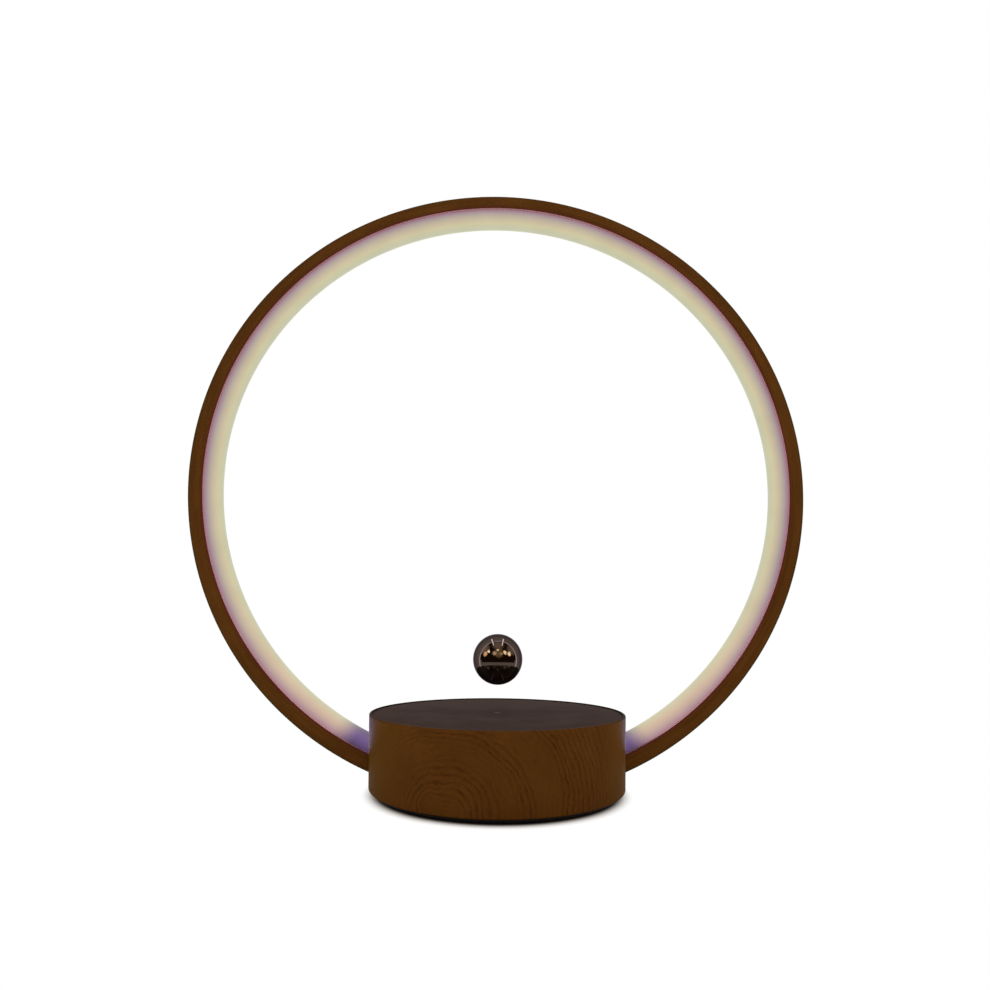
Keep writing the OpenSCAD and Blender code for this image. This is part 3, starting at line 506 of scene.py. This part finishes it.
# Painted glow and shade: the lip's edge is pink with the dome's light, and dark near the base, where the
# dome is dim.
bare = add(t, "MapRange", {0: ring_out, 1: 142.95, 2: 142.83}).outputs[0]
low = add(t, "Math", {0: rise, 1: -1.0}, operation="MULTIPLY").outputs[0]
low = add(t, "MapRange", {0: low, 1: 120.0, 2: 128.0, 3: 1.0, 4: 0.0}).outputs[0]
pink = add(t, "MixRGB", {0: low, 1: srgb("#533a3d"), 2: srgb("#a67a80")}).outputs[0]
toned = add(t, "MixRGB", {0: bare, 1: toned, 2: pink}).outputs[0]
t.links.new(toned, skin.inputs["Base Color"])
gloss = add(t, "MapRange", {0: fine, 1: 0.0, 2: 0.4, 3: 0.5, 4: 0.62}).outputs[0]
t.links.new(gloss, skin.inputs["Roughness"])
skin.inputs["Specular IOR Level"].default_value = 0.008
press = add(t, "Bump", {"Height": fine, "Strength": 0.25, "Distance": 0.00004}, invert=True).outputs[0]
t.links.new(press, skin.inputs["Normal"])
wear(channel, ring_film)
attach(channel, "base")
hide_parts("ring_channel")

# Diffuser: the opal dome that fills the ring's inner side and spreads the light of the diodes behind it.
# Extruded opal polycarbonate with 1.5 mm walls: half round, with two legs that stand on the channel's
# floor. Pushed in between the channel's walls; both ends stop inside the base.
leg_end = 148.35 * mm
dome_wall = 1.5 * mm
dome_end = math.radians(22.11)
bpy.ops.object.select_all(action="DESELECT")
bpy.ops.mesh.primitive_circle_add(
    vertices=64, radius=dome_r, fill_type="NOTHING", rotation=(0, math.pi / 2, 0),
    location=(0, 0, ring_centre + dome_centre)
)
dome = bpy.context.object
dome.name = "opal_dome"
bpy.ops.object.transform_apply(location=True, rotation=True, scale=True)
edit(dome)
pick("VERT", lambda p: p.z > ring_centre + dome_centre + near_by)
bpy.ops.mesh.delete(type="VERT")
pick("VERT", lambda p: near(abs(p.y), dome_r))
bpy.ops.mesh.extrude_region_move(TRANSFORM_OT_translate={"value": (0, 0, leg_end - dome_centre)})
bpy.ops.mesh.select_all(action="SELECT")
bpy.ops.mesh.spin(steps=150, angle=math.pi - dome_end, center=(0, 0, ring_centre), axis=(0, 1, 0))
bpy.ops.object.mode_set(mode="OBJECT")
mirror = dome.modifiers.new("other_half", "MIRROR")
mirror.merge_threshold = halves_weld
apply_all(dome, 50)
edit(dome)
close_up()
shell = dome.modifiers.new("wall", "SOLIDIFY")
shell.thickness = dome_wall
shell.offset = -1
apply_all(dome, 50)

# Opal polycarbonate, lit from behind: cream on the crown, grey-mauve down its sides and pink at the lips,
# and violet in the last centimetre above the base, where no diode stands behind it. A photograph holds its
# brightness back, so a mirror shows it brighter and whiter than the camera does.
opal, t, skin, place = paint("lit_opal_polycarbonate")
axes = add(t, "SeparateXYZ", {0: place}).outputs
rise = add(t, "Math", {0: axes[2], 1: ring_centre / mm}, operation="SUBTRACT").outputs[0]
arm = add(t, "CombineXYZ", {0: axes[0], 1: rise}).outputs[0]
ring_out = add(t, "VectorMath", {0: arm}, operation="LENGTH").outputs["Value"]
depth = add(t, "MapRange", {0: ring_out, 1: 136.0, 2: 143.0}).outputs[0]
glow = add(t, "ValToRGB", {0: depth}, stops=(
    (0.0, "#c6c6ac"), (1.0, "#a77f88"), (0.03, "#c9c8a6"), (0.15, "#d1c8a1"),
    (0.28, "#cdc0a0"), (0.39, "#c6b99e"), (0.5, "#bfb29d"), (0.63, "#b6a59b"),
    (0.74, "#ab9999"), (0.85, "#a38994"), (0.93, "#a1808e")
)).outputs[0]
across = add(t, "Math", {0: axes[0]}, operation="ABSOLUTE").outputs[0]
down = add(t, "Math", {0: rise, 1: -1.0}, operation="MULTIPLY").outputs[0]
from_foot = add(t, "Math", {0: across, 1: down}, operation="ARCTAN2").outputs[0]
warm = add(t, "MapRange", {
    0: from_foot, 1: 1.3, 2: 0.6, 3: 0.0, 4: 0.85
}, interpolation_type="SMOOTHSTEP").outputs[0]
peach = add(t, "ValToRGB", {0: depth}, stops=(
    (0.0, "#d0caa8"), (1.0, "#b07f84"), (0.3, "#d6b9a0"), (0.6, "#c5a69b"), (0.85, "#b49097")
)).outputs[0]
glow = add(t, "MixRGB", {0: warm, 1: glow, 2: peach}).outputs[0]
beside = add(t, "Math", {0: axes[0], 1: 2.2}, operation="ADD").outputs[0]
beside = add(t, "Math", {0: beside}, operation="ABSOLUTE").outputs[0]
beside = add(t, "Math", {0: depth, 1: -4.0, 2: beside}, operation="MULTIPLY_ADD").outputs[0]
shade = add(t, "MapRange", {0: beside, 1: 70.5, 2: 59.5}, interpolation_type="SMOOTHSTEP").outputs[0]
low = add(t, "MapRange", {0: rise, 1: 0.0, 2: -40.0}).outputs[0]
shade = add(t, "Math", {0: shade, 1: low}, operation="MULTIPLY").outputs[0]
violet = add(t, "ValToRGB", {0: depth}, stops=(
    (0.0, "#7a6c84"), (1.0, "#523a54"), (0.25, "#77628d"), (0.45, "#6e568a"),
    (0.6, "#644e7e"), (0.8, "#5a4470")
)).outputs[0]
glow = add(t, "MixRGB", {0: shade, 1: glow, 2: violet}).outputs[0]
cloud = add(t, "TexNoise", {"Vector": place, "Scale": 0.08, "Detail": 2.0}).outputs[0]
cloud = add(t, "MapRange", {0: cloud, 1: 0.3, 2: 0.7, 3: 0.92, 4: 0.98}).outputs[0]
rays = add(t, "LightPath", {}).outputs
glow = add(t, "MixRGB", {0: rays["Is Glossy Ray"], 1: glow, 2: srgb("#e2e0ff")}).outputs[0]
flare = add(t, "MapRange", {0: rays["Is Glossy Ray"], 3: 1.0, 4: 5.0}).outputs[0]
flare = add(t, "Math", {0: cloud, 1: flare}, operation="MULTIPLY").outputs[0]
t.links.new(glow, skin.inputs["Emission Color"])
t.links.new(flare, skin.inputs["Emission Strength"])
skin.inputs["Base Color"].default_value = srgb("#1a1919")
matt = add(t, "TexNoise", {"Vector": place, "Scale": 1.2, "Detail": 3.0}).outputs[0]
matt = add(t, "MapRange", {0: matt, 1: 0.3, 2: 0.7, 3: 0.45, 4: 0.6}).outputs[0]
t.links.new(matt, skin.inputs["Roughness"])
skin.inputs["IOR"].default_value = 1.58
skin.inputs["Specular IOR Level"].default_value = 0.15
wear(dome, opal)
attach(dome, "base")
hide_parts("diffuser")

# Ball: two half shells that snap together round the magnet holder; the ball floats over the plate.
# ABS with a dark mirror finish, vacuum-metallised and lacquered, so it shows the room like a black mirror.
# The halves meet edge to edge at the equator, in a joint too fine to see.
ball_centre = 57.85 * mm
ball_r = 11.75 * mm
ball_wall = 1.2 * mm
joint_gap = 0.002 * mm
black_chrome, t, skin, place = paint("dark_vacuum_metallised_mirror")
cloud = add(t, "TexNoise", {"Vector": place, "Scale": 0.15, "Detail": 2.0}).outputs[0]
tint = add(t, "ValToRGB", {0: cloud}, stops=((0.3, "#483e37"), (0.7, "#4d433b"))).outputs[0]
t.links.new(tint, skin.inputs["Base Color"])
wipe = add(t, "TexNoise", {"Vector": place, "Scale": 0.5, "Detail": 4.0}).outputs[0]
wipe = add(t, "MapRange", {0: wipe, 1: 0.3, 2: 0.7, 3: 0.02, 4: 0.05}).outputs[0]
t.links.new(wipe, skin.inputs["Roughness"])
skin.inputs["Metallic"].default_value = 1.0
skin.inputs["Specular Tint"].default_value = (0.41, 0.41, 0.45, 1)
for half, up in (("ball_upper_mirror", 1), ("ball_lower_mirror", -1)):
    bpy.ops.object.select_all(action="DESELECT")
    bpy.ops.mesh.primitive_uv_sphere_add(
        segments=128, ring_count=64, radius=ball_r, location=(0, 0, ball_centre)
    )
    shell_half = bpy.context.object
    shell_half.name = half
    bpy.ops.object.transform_apply(location=True, rotation=True, scale=True)
    edit(shell_half)
    bpy.ops.mesh.select_all(action="SELECT")
    bpy.ops.mesh.bisect(
        plane_co=(0, 0, ball_centre + up * joint_gap), plane_no=(0, 0, up), clear_inner=True, use_fill=False
    )
    close_up()
    wall = shell_half.modifiers.new("wall", "SOLIDIFY")
    wall.thickness = ball_wall
    wall.offset = -1
    apply_all(shell_half, 20)
    wear(shell_half, black_chrome)
    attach(shell_half, "ball")
    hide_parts("ball_upper_shell" if up == 1 else "ball_lower_shell")

# Inside plastics: the module's chassis, coil bobbins, plugs, cradles and the ball's magnet holder.
# Injection-moulded ABS in the same black as the cover.
# Screwed, snapped or glued in place inside the base, the ring's ends and the ball.
for name in ("lev_chassis", "coil_bobbins", "ring_plugs", "left_cradle", "right_cradle", "magnet_holder"):
    wear(nodes[name], abs_black)

# Screws: the cover's, the module's, the cradles' and the ring's, with slotted pan heads.
# Zinc-plated steel, bluish and slightly blotchy from the bath.
# The module's four heads show in the cover's sinks from below; the rest stay inside.
zinc, t, skin, place = paint("zinc_plated_steel")
bath = add(t, "TexNoise", {"Vector": place, "Scale": 0.9, "Detail": 5.0, "Roughness": 0.6}).outputs[0]
tint = add(t, "ValToRGB", {0: bath}, stops=((0.3, "#8f9298"), (0.7, "#b9bbbf"))).outputs[0]
t.links.new(tint, skin.inputs["Base Color"])
dull = add(t, "MapRange", {0: bath, 1: 0.3, 2: 0.7, 3: 0.42, 4: 0.28}).outputs[0]
t.links.new(dull, skin.inputs["Roughness"])
skin.inputs["Metallic"].default_value = 1.0
for name in ("cover_screws", "module_screws", "cradle_screws", "ring_screws", "coil_cores"):
    wear(nodes[name], zinc)

# Ring magnet: the field magnet that carries the ball, round the four coils.
# Sintered ferrite, pressed and fired, dark grey with a fine grain.
# Dropped into the chassis round its locating ring.
ferrite, t, skin, place = paint("sintered_ferrite")
speck = add(t, "TexNoise", {"Vector": place, "Scale": 2.5, "Detail": 4.0, "Roughness": 0.7}).outputs[0]
tint = add(t, "ValToRGB", {0: speck}, stops=((0.3, "#242426"), (0.7, "#3a3a3d"))).outputs[0]
t.links.new(tint, skin.inputs["Base Color"])
dull = add(t, "MapRange", {0: speck, 1: 0.3, 2: 0.7, 3: 0.6, 4: 0.8}).outputs[0]
t.links.new(dull, skin.inputs["Roughness"])
press = add(t, "Bump", {"Height": speck, "Strength": 0.4, "Distance": 0.0001}).outputs[0]
t.links.new(press, skin.inputs["Normal"])
wear(nodes["field_magnet"], ferrite)

# Windings: the four coils that hold the ball in place, and the copper touch electrode under the plate.
# Enamelled copper wire 0.5 mm thick, wound in level layers, so each turn is a fine ridge.
# Wound on the bobbins; the electrode is copper foil glued under the plate.
wire_thick = 0.5
copper, t, skin, place = paint("enamelled_copper_wire")
axes = add(t, "SeparateXYZ", {0: place}).outputs
turns = add(t, "Math", {0: axes[2], 1: 2 * math.pi / wire_thick}, operation="MULTIPLY").outputs[0]
turns = add(t, "Math", {0: turns}, operation="SINE").outputs[0]
tone = add(t, "MapRange", {0: turns, 1: -1.0, 2: 1.0}).outputs[0]
tint = add(t, "ValToRGB", {0: tone}, stops=((0.0, "#6b3312"), (1.0, "#b4632a"))).outputs[0]
t.links.new(tint, skin.inputs["Base Color"])
dull = add(t, "MapRange", {0: tone, 3: 0.5, 4: 0.28}).outputs[0]
t.links.new(dull, skin.inputs["Roughness"])
skin.inputs["Metallic"].default_value = 0.9
press = add(t, "Bump", {"Height": turns, "Strength": 0.5, "Distance": 0.0001}).outputs[0]
t.links.new(press, skin.inputs["Normal"])
for name in ("coil_windings", "touch_electrode"):
    wear(nodes[name], copper)

# Boards: the main board on its standoffs and the small round sensor board between the coils.
# Glass-epoxy laminate under green solder resist, with a faint weave and paler copper tracks under it.
# Screwed between the cover's standoffs and the chassis's legs; the sensor board is glued to its post.
laminate, t, skin, place = paint("green_glass_epoxy")
tracks = add(t, "TexBrick", {
    "Vector": place, "Scale": 1.0, "Mortar Size": 0.25, "Brick Width": 3.2, "Row Height": 1.3,
    "Color1": srgb("#1c5330"), "Color2": srgb("#1f5a34"), "Mortar": srgb("#2f7a46")
})
t.links.new(tracks.outputs["Color"], skin.inputs["Base Color"])
weave = add(t, "TexNoise", {"Vector": place, "Scale": 2.0, "Detail": 3.0}).outputs[0]
gloss = add(t, "MapRange", {0: weave, 1: 0.3, 2: 0.7, 3: 0.28, 4: 0.42}).outputs[0]
t.links.new(gloss, skin.inputs["Roughness"])
press = add(t, "Bump", {"Height": tracks.outputs["Fac"], "Strength": 0.3, "Distance": 0.00004}).outputs[0]
t.links.new(press, skin.inputs["Normal"])
for name in ("main_board", "hall_board"):
    wear(nodes[name], laminate)

# Chips: four driver chips, two logic chips and three field sensors.
# Transfer-moulded epoxy, black and slightly speckled.
# Soldered to the boards.
epoxy, t, skin, place = paint("moulded_black_epoxy")
speck = add(t, "TexNoise", {"Vector": place, "Scale": 4.0, "Detail": 3.0}).outputs[0]
tint = add(t, "ValToRGB", {0: speck}, stops=((0.3, "#121212"), (0.7, "#202020"))).outputs[0]
t.links.new(tint, skin.inputs["Base Color"])
dull = add(t, "MapRange", {0: speck, 1: 0.3, 2: 0.7, 3: 0.55, 4: 0.7}).outputs[0]
t.links.new(dull, skin.inputs["Roughness"])
for name in ("driver_chips", "hall_sensors"):
    wear(nodes[name], epoxy)

# Capacitors: three cans on the main board.
# Deep-drawn aluminium, with faint draw lines up their sides.
# Soldered to the board under the chassis.
can, t, skin, place = paint("drawn_aluminium")
draw = add(t, "VectorMath", {0: place, 1: (6, 6, 0.2)}, operation="MULTIPLY").outputs[0]
draw = add(t, "TexNoise", {"Vector": draw, "Scale": 1.0, "Detail": 2.0}).outputs[0]
tint = add(t, "ValToRGB", {0: draw}, stops=((0.3, "#a5a8ad"), (0.7, "#c8cacd"))).outputs[0]
t.links.new(tint, skin.inputs["Base Color"])
dull = add(t, "MapRange", {0: draw, 1: 0.3, 2: 0.7, 3: 0.3, 4: 0.42}).outputs[0]
t.links.new(dull, skin.inputs["Roughness"])
skin.inputs["Metallic"].default_value = 1.0
wear(nodes["capacitors"], can)

# Diode strip: the flexible strip on the channel's floor, with one diode every eleven millimetres or so.
# Polyimide strip under white solder resist, slightly mottled; the diodes are yellow with phosphor.
# Glued to the channel's floor, with the diodes facing the dome.
resist, t, skin, place = paint("white_solder_resist")
mottle = add(t, "TexNoise", {"Vector": place, "Scale": 0.7, "Detail": 4.0}).outputs[0]
tint = add(t, "ValToRGB", {0: mottle}, stops=((0.3, "#d9d8d2"), (0.7, "#eeede8"))).outputs[0]
t.links.new(tint, skin.inputs["Base Color"])
gloss = add(t, "MapRange", {0: mottle, 1: 0.3, 2: 0.7, 3: 0.35, 4: 0.5}).outputs[0]
t.links.new(gloss, skin.inputs["Roughness"])
wear(nodes["led_strip"], resist)
phosphor, t, skin, place = paint("yellow_phosphor_gel")
grain = add(t, "TexNoise", {"Vector": place, "Scale": 5.0, "Detail": 2.0}).outputs[0]
tint = add(t, "ValToRGB", {0: grain}, stops=((0.3, "#d8b84a"), (0.7, "#e8d27a"))).outputs[0]
t.links.new(tint, skin.inputs["Base Color"])
gloss = add(t, "MapRange", {0: grain, 1: 0.3, 2: 0.7, 3: 0.25, 4: 0.4}).outputs[0]
t.links.new(gloss, skin.inputs["Roughness"])
wear(nodes["leds"], phosphor)

# Leads: red from the power inlet, white from the diodes and the touch electrode.
# Stranded wire in silicone insulation, satin, with a faint lay of the strands under it.
# Soldered at both ends and tucked round the module.
for names, pale, deep in (
    (("jack_leads",), "#b02a20", "#8f1e17"),
    (("led_leads", "touch_lead"), "#e2e0da", "#c9c6be"),
):
    silicone, t, skin, place = paint("silicone_lead_" + ("red" if names[0] == "jack_leads" else "white"))
    strand = add(t, "TexNoise", {"Vector": place, "Scale": 1.4, "Detail": 3.0}).outputs[0]
    tint = add(t, "ValToRGB", {0: strand}, stops=((0.3, deep), (0.7, pale))).outputs[0]
    t.links.new(tint, skin.inputs["Base Color"])
    satin = add(t, "MapRange", {0: strand, 1: 0.3, 2: 0.7, 3: 0.4, 4: 0.55}).outputs[0]
    t.links.new(satin, skin.inputs["Roughness"])
    for name in names:
        wear(nodes[name], silicone)


# Studio floor: a plain pale sweep that keeps the lamp's contact shadow and is white further out.
# Matt paper; the camera, mirrors and clear pieces see it white away from the lamp. Round the foot its own
# colour is painted dark as well: a painted contact shadow, drawn a little forward.
def blank_finish(name):
    finish = bpy.data.materials.new(name)
    finish.use_nodes = True
    finish.node_tree.nodes.clear()
    return finish, finish.node_tree


bpy.ops.object.select_all(action="DESELECT")
bpy.ops.mesh.primitive_plane_add(size=12, location=(0, 0, 0))
floor = bpy.context.object
floor.name = "studio_floor"
paper, t = blank_finish("white_paper")
coords = add(t, "TexCoord", {})
# Painted shadow: distance from a point a little in front of the lamp's axis, so the shadow reaches further
# forward.
away = add(t, "VectorMath", {
    0: coords.outputs["Object"], 1: (0.98, 1, 1), 2: (0.0001, 0.004, 0)
}, operation="MULTIPLY_ADD").outputs[0]
away = add(t, "VectorMath", {0: away}, operation="LENGTH").outputs["Value"]
white_part = add(t, "MapRange", {0: away, 1: 0.052, 2: 0.0597}, interpolation_type="SMOOTHSTEP").outputs[0]
# Painted shadow: the paper's colour runs from black at the foot, through a warm grey, to white.
tone = add(t, "MapRange", {0: away, 1: 0.051, 2: 0.063}).outputs[0]
tone = add(t, "ValToRGB", {0: tone}, stops=(
    (0.0, "#000000"), (1.0, "#f3f3f3"), (0.45, "#b8aa9c")
)).outputs[0]
rays = add(t, "LightPath", {}).outputs
seen = add(t, "Math", {0: rays["Is Camera Ray"], 1: rays["Is Glossy Ray"]}, operation="MAXIMUM").outputs[0]
seen = add(t, "Math", {0: seen, 1: rays["Is Transmission Ray"]}, operation="MAXIMUM").outputs[0]
white_part = add(t, "Math", {0: seen, 1: white_part}, operation="MULTIPLY").outputs[0]
shaded = add(t, "BsdfDiffuse", {"Color": tone}).outputs[0]
plain = add(t, "Emission", {"Color": (1, 1, 1, 1), "Strength": 1.0}).outputs[0]
sheet = add(t, "MixShader", {0: white_part, 1: shaded, 2: plain}).outputs[0]
add(t, "OutputMaterial", {"Surface": sheet})
floor.data.materials.append(paper)

# Studio light: white surroundings for the camera and for mirrors, grey for everything else,
# and four wide soft lamps, left, right, in front and above, which mirrors don't show.
world = bpy.data.worlds.new("white_studio")
bpy.context.scene.world = world
world.use_nodes = True
t = world.node_tree
t.nodes.clear()
rays = add(t, "LightPath", {}).outputs
seen = add(t, "Math", {0: rays["Is Camera Ray"], 1: rays["Is Glossy Ray"]}, operation="MAXIMUM").outputs[0]
seen = add(t, "Math", {0: seen, 1: rays["Is Transmission Ray"]}, operation="MAXIMUM").outputs[0]
level = add(t, "MapRange", {0: seen, 3: 0.5, 4: 1.0}).outputs[0]
sky = add(t, "Background", {"Color": (1, 1, 1, 1), "Strength": level}).outputs[0]
add(t, "OutputWorld", {"Surface": sky})

for name, spot, aim, width, power in (
    ("lamp_left", (-1.2, -0.3, 1.0), (0, 0, 0.05), 0.8, 7.5),
    ("lamp_right", (1.2, -0.3, 1.0), (0, 0, 0.05), 0.8, 7.5),
    ("lamp_front", (0, -1.7, 1.3), (0, 0, 0.12), 1.4, 11.0),
    ("lamp_top", (0, 0.2, 1.6), (0, 0, 0.05), 1.6, 8.5),
):
    lamp = bpy.data.lights.new(name, "AREA")
    lamp.size = width
    lamp.energy = power
    holder = bpy.data.objects.new(name, lamp)
    bpy.context.scene.collection.objects.link(holder)
    holder.location = spot
    holder.rotation_euler = (Vector(aim) - Vector(spot)).to_track_quat("-Z", "Y").to_euler()
    holder.visible_glossy = False


# Studio surroundings: what the mirror ball shows, and nothing else sees: a dark room in front
# with a few warm lights and a low wall, and two bright strips overhead.
def show_in_mirrors(thing, finish):
    for kind in ("camera", "diffuse", "transmission", "volume_scatter", "shadow"):
        setattr(thing, "visible_" + kind, False)
    wear(thing, finish)


room_r = 1.9
low_wall_r = 0.3
low_wall_height = 0.1
bright_core = 0.15
bpy.ops.object.select_all(action="DESELECT")
bpy.ops.mesh.primitive_uv_sphere_add(segments=64, ring_count=32, radius=room_r, location=(0, 0, 0))
room = bpy.context.object
room.name = "studio_room"
edit(room)
for side in ((0, -1, 0), (0, 0, 1)):
    bpy.ops.mesh.select_all(action="SELECT")
    bpy.ops.mesh.bisect(plane_co=(0, -0.02, 0.002), plane_no=side, clear_inner=True, use_fill=False)
bpy.ops.object.mode_set(mode="OBJECT")
dim, t = blank_finish("dim_room")
toward = add(t, "TexCoord", {}).outputs["Object"]
toward = add(t, "VectorMath", {0: toward}, operation="NORMALIZE").outputs[0]
stray = add(t, "TexNoise", {"Vector": toward, "Scale": 9.0, "Detail": 2.0}).outputs["Color"]
stray = add(t, "VectorMath", {
    0: stray, 1: (0.26, 0.26, 0.26), 2: (-0.13, -0.13, -0.13)
}, operation="MULTIPLY_ADD").outputs[0]
toward = add(t, "VectorMath", {0: toward, 1: stray}, operation="ADD").outputs[0]
toward = add(t, "VectorMath", {0: toward}, operation="NORMALIZE").outputs[0]
shown = (0.08, 0.04, 0.02)
for heading, spread, light in (
    ((0.05, -0.84, 0.55), 26, (1.2, 0.95, 0.55)),
    ((0.0, -0.35, 0.94), 26, (1.1, 0.95, 0.8)),
    ((-0.78, -0.13, 0.61), 24, (1.3, 1.1, 0.85)),
    ((0.80, -0.18, 0.57), 24, (1.1, 0.9, 0.7)),
    ((-0.65, -0.5, 0.57), 8, (15.0, 14.0, 13.0)),
    ((-0.84, -0.39, 0.38), 11, (8.0, 5.6, 2.8)),
    ((0.0, -0.71, 0.7), 7, (22.0, 21.0, 15.0)),
    ((-0.28, -0.82, 0.5), 11, (4.4, 3.6, 2.4)),
    ((0.24, -0.84, 0.48), 10, (3.8, 2.8, 1.5)),
    ((0.5, -0.68, 0.54), 9, (12.0, 10.6, 8.0)),
    ((0.77, -0.5, 0.4), 9, (12.0, 10.6, 7.6)),
):
    close = add(t, "VectorMath", {0: toward, 1: heading}, operation="DOT_PRODUCT").outputs["Value"]
    close = add(t, "MapRange", {
        0: close, 1: math.cos(math.radians(spread)), 2: math.cos(math.radians(bright_core * spread))
    }, interpolation_type="SMOOTHSTEP").outputs[0]
    glint = add(t, "VectorMath", {0: light, "Scale": close}, operation="SCALE").outputs[0]
    shown = add(t, "VectorMath", {0: glint, 1: shown}, operation="ADD").outputs[0]
shown = add(t, "Emission", {"Color": shown}).outputs[0]
add(t, "OutputMaterial", {"Surface": shown})
show_in_mirrors(room, dim)

bpy.ops.object.select_all(action="DESELECT")
bpy.ops.mesh.primitive_cylinder_add(
    vertices=96, radius=low_wall_r, depth=low_wall_height, end_fill_type="NOTHING",
    location=(0, 0, low_wall_height / 2)
)
low_wall = bpy.context.object
low_wall.name = "dark_low_wall"
edit(low_wall)
bpy.ops.mesh.select_all(action="SELECT")
bpy.ops.mesh.bisect(plane_co=(0, -0.05, 0), plane_no=(0, -1, 0), clear_inner=True, use_fill=False)
bpy.ops.object.mode_set(mode="OBJECT")
show_in_mirrors(low_wall, dim)

glare, t = blank_finish("strip_light")
shown = add(t, "Emission", {"Color": (12.0, 12.0, 13.5, 1)}).outputs[0]
add(t, "OutputMaterial", {"Surface": shown})
for name, spot in (("strip_left", (-0.47, 0.08, 1.56)), ("strip_right", (0.45, 0.03, 1.56))):
    bpy.ops.object.select_all(action="DESELECT")
    bpy.ops.mesh.primitive_plane_add(size=1, location=spot)
    strip = bpy.context.object
    strip.name = name
    strip.scale = (0.07, 1.22, 1)
    show_in_mirrors(strip, glare)

# Camera: just above the ball and looking up through the ring, as in the photograph.
# Its place and lens were fitted to the outlines of the ring, the base and the ball.
view = bpy.data.cameras.new("camera")
view.lens = 24.45
view.sensor_width = 36.0
camera = bpy.data.objects.new("camera", view)
bpy.context.scene.collection.objects.link(camera)
camera.location = (-0.0111, -0.3278, 0.0740)
camera.rotation_euler = (math.radians(100.90), math.radians(-0.48), math.radians(-1.69))
bpy.context.scene.camera = camera
bpy.context.scene.view_settings.view_transform = "Standard"
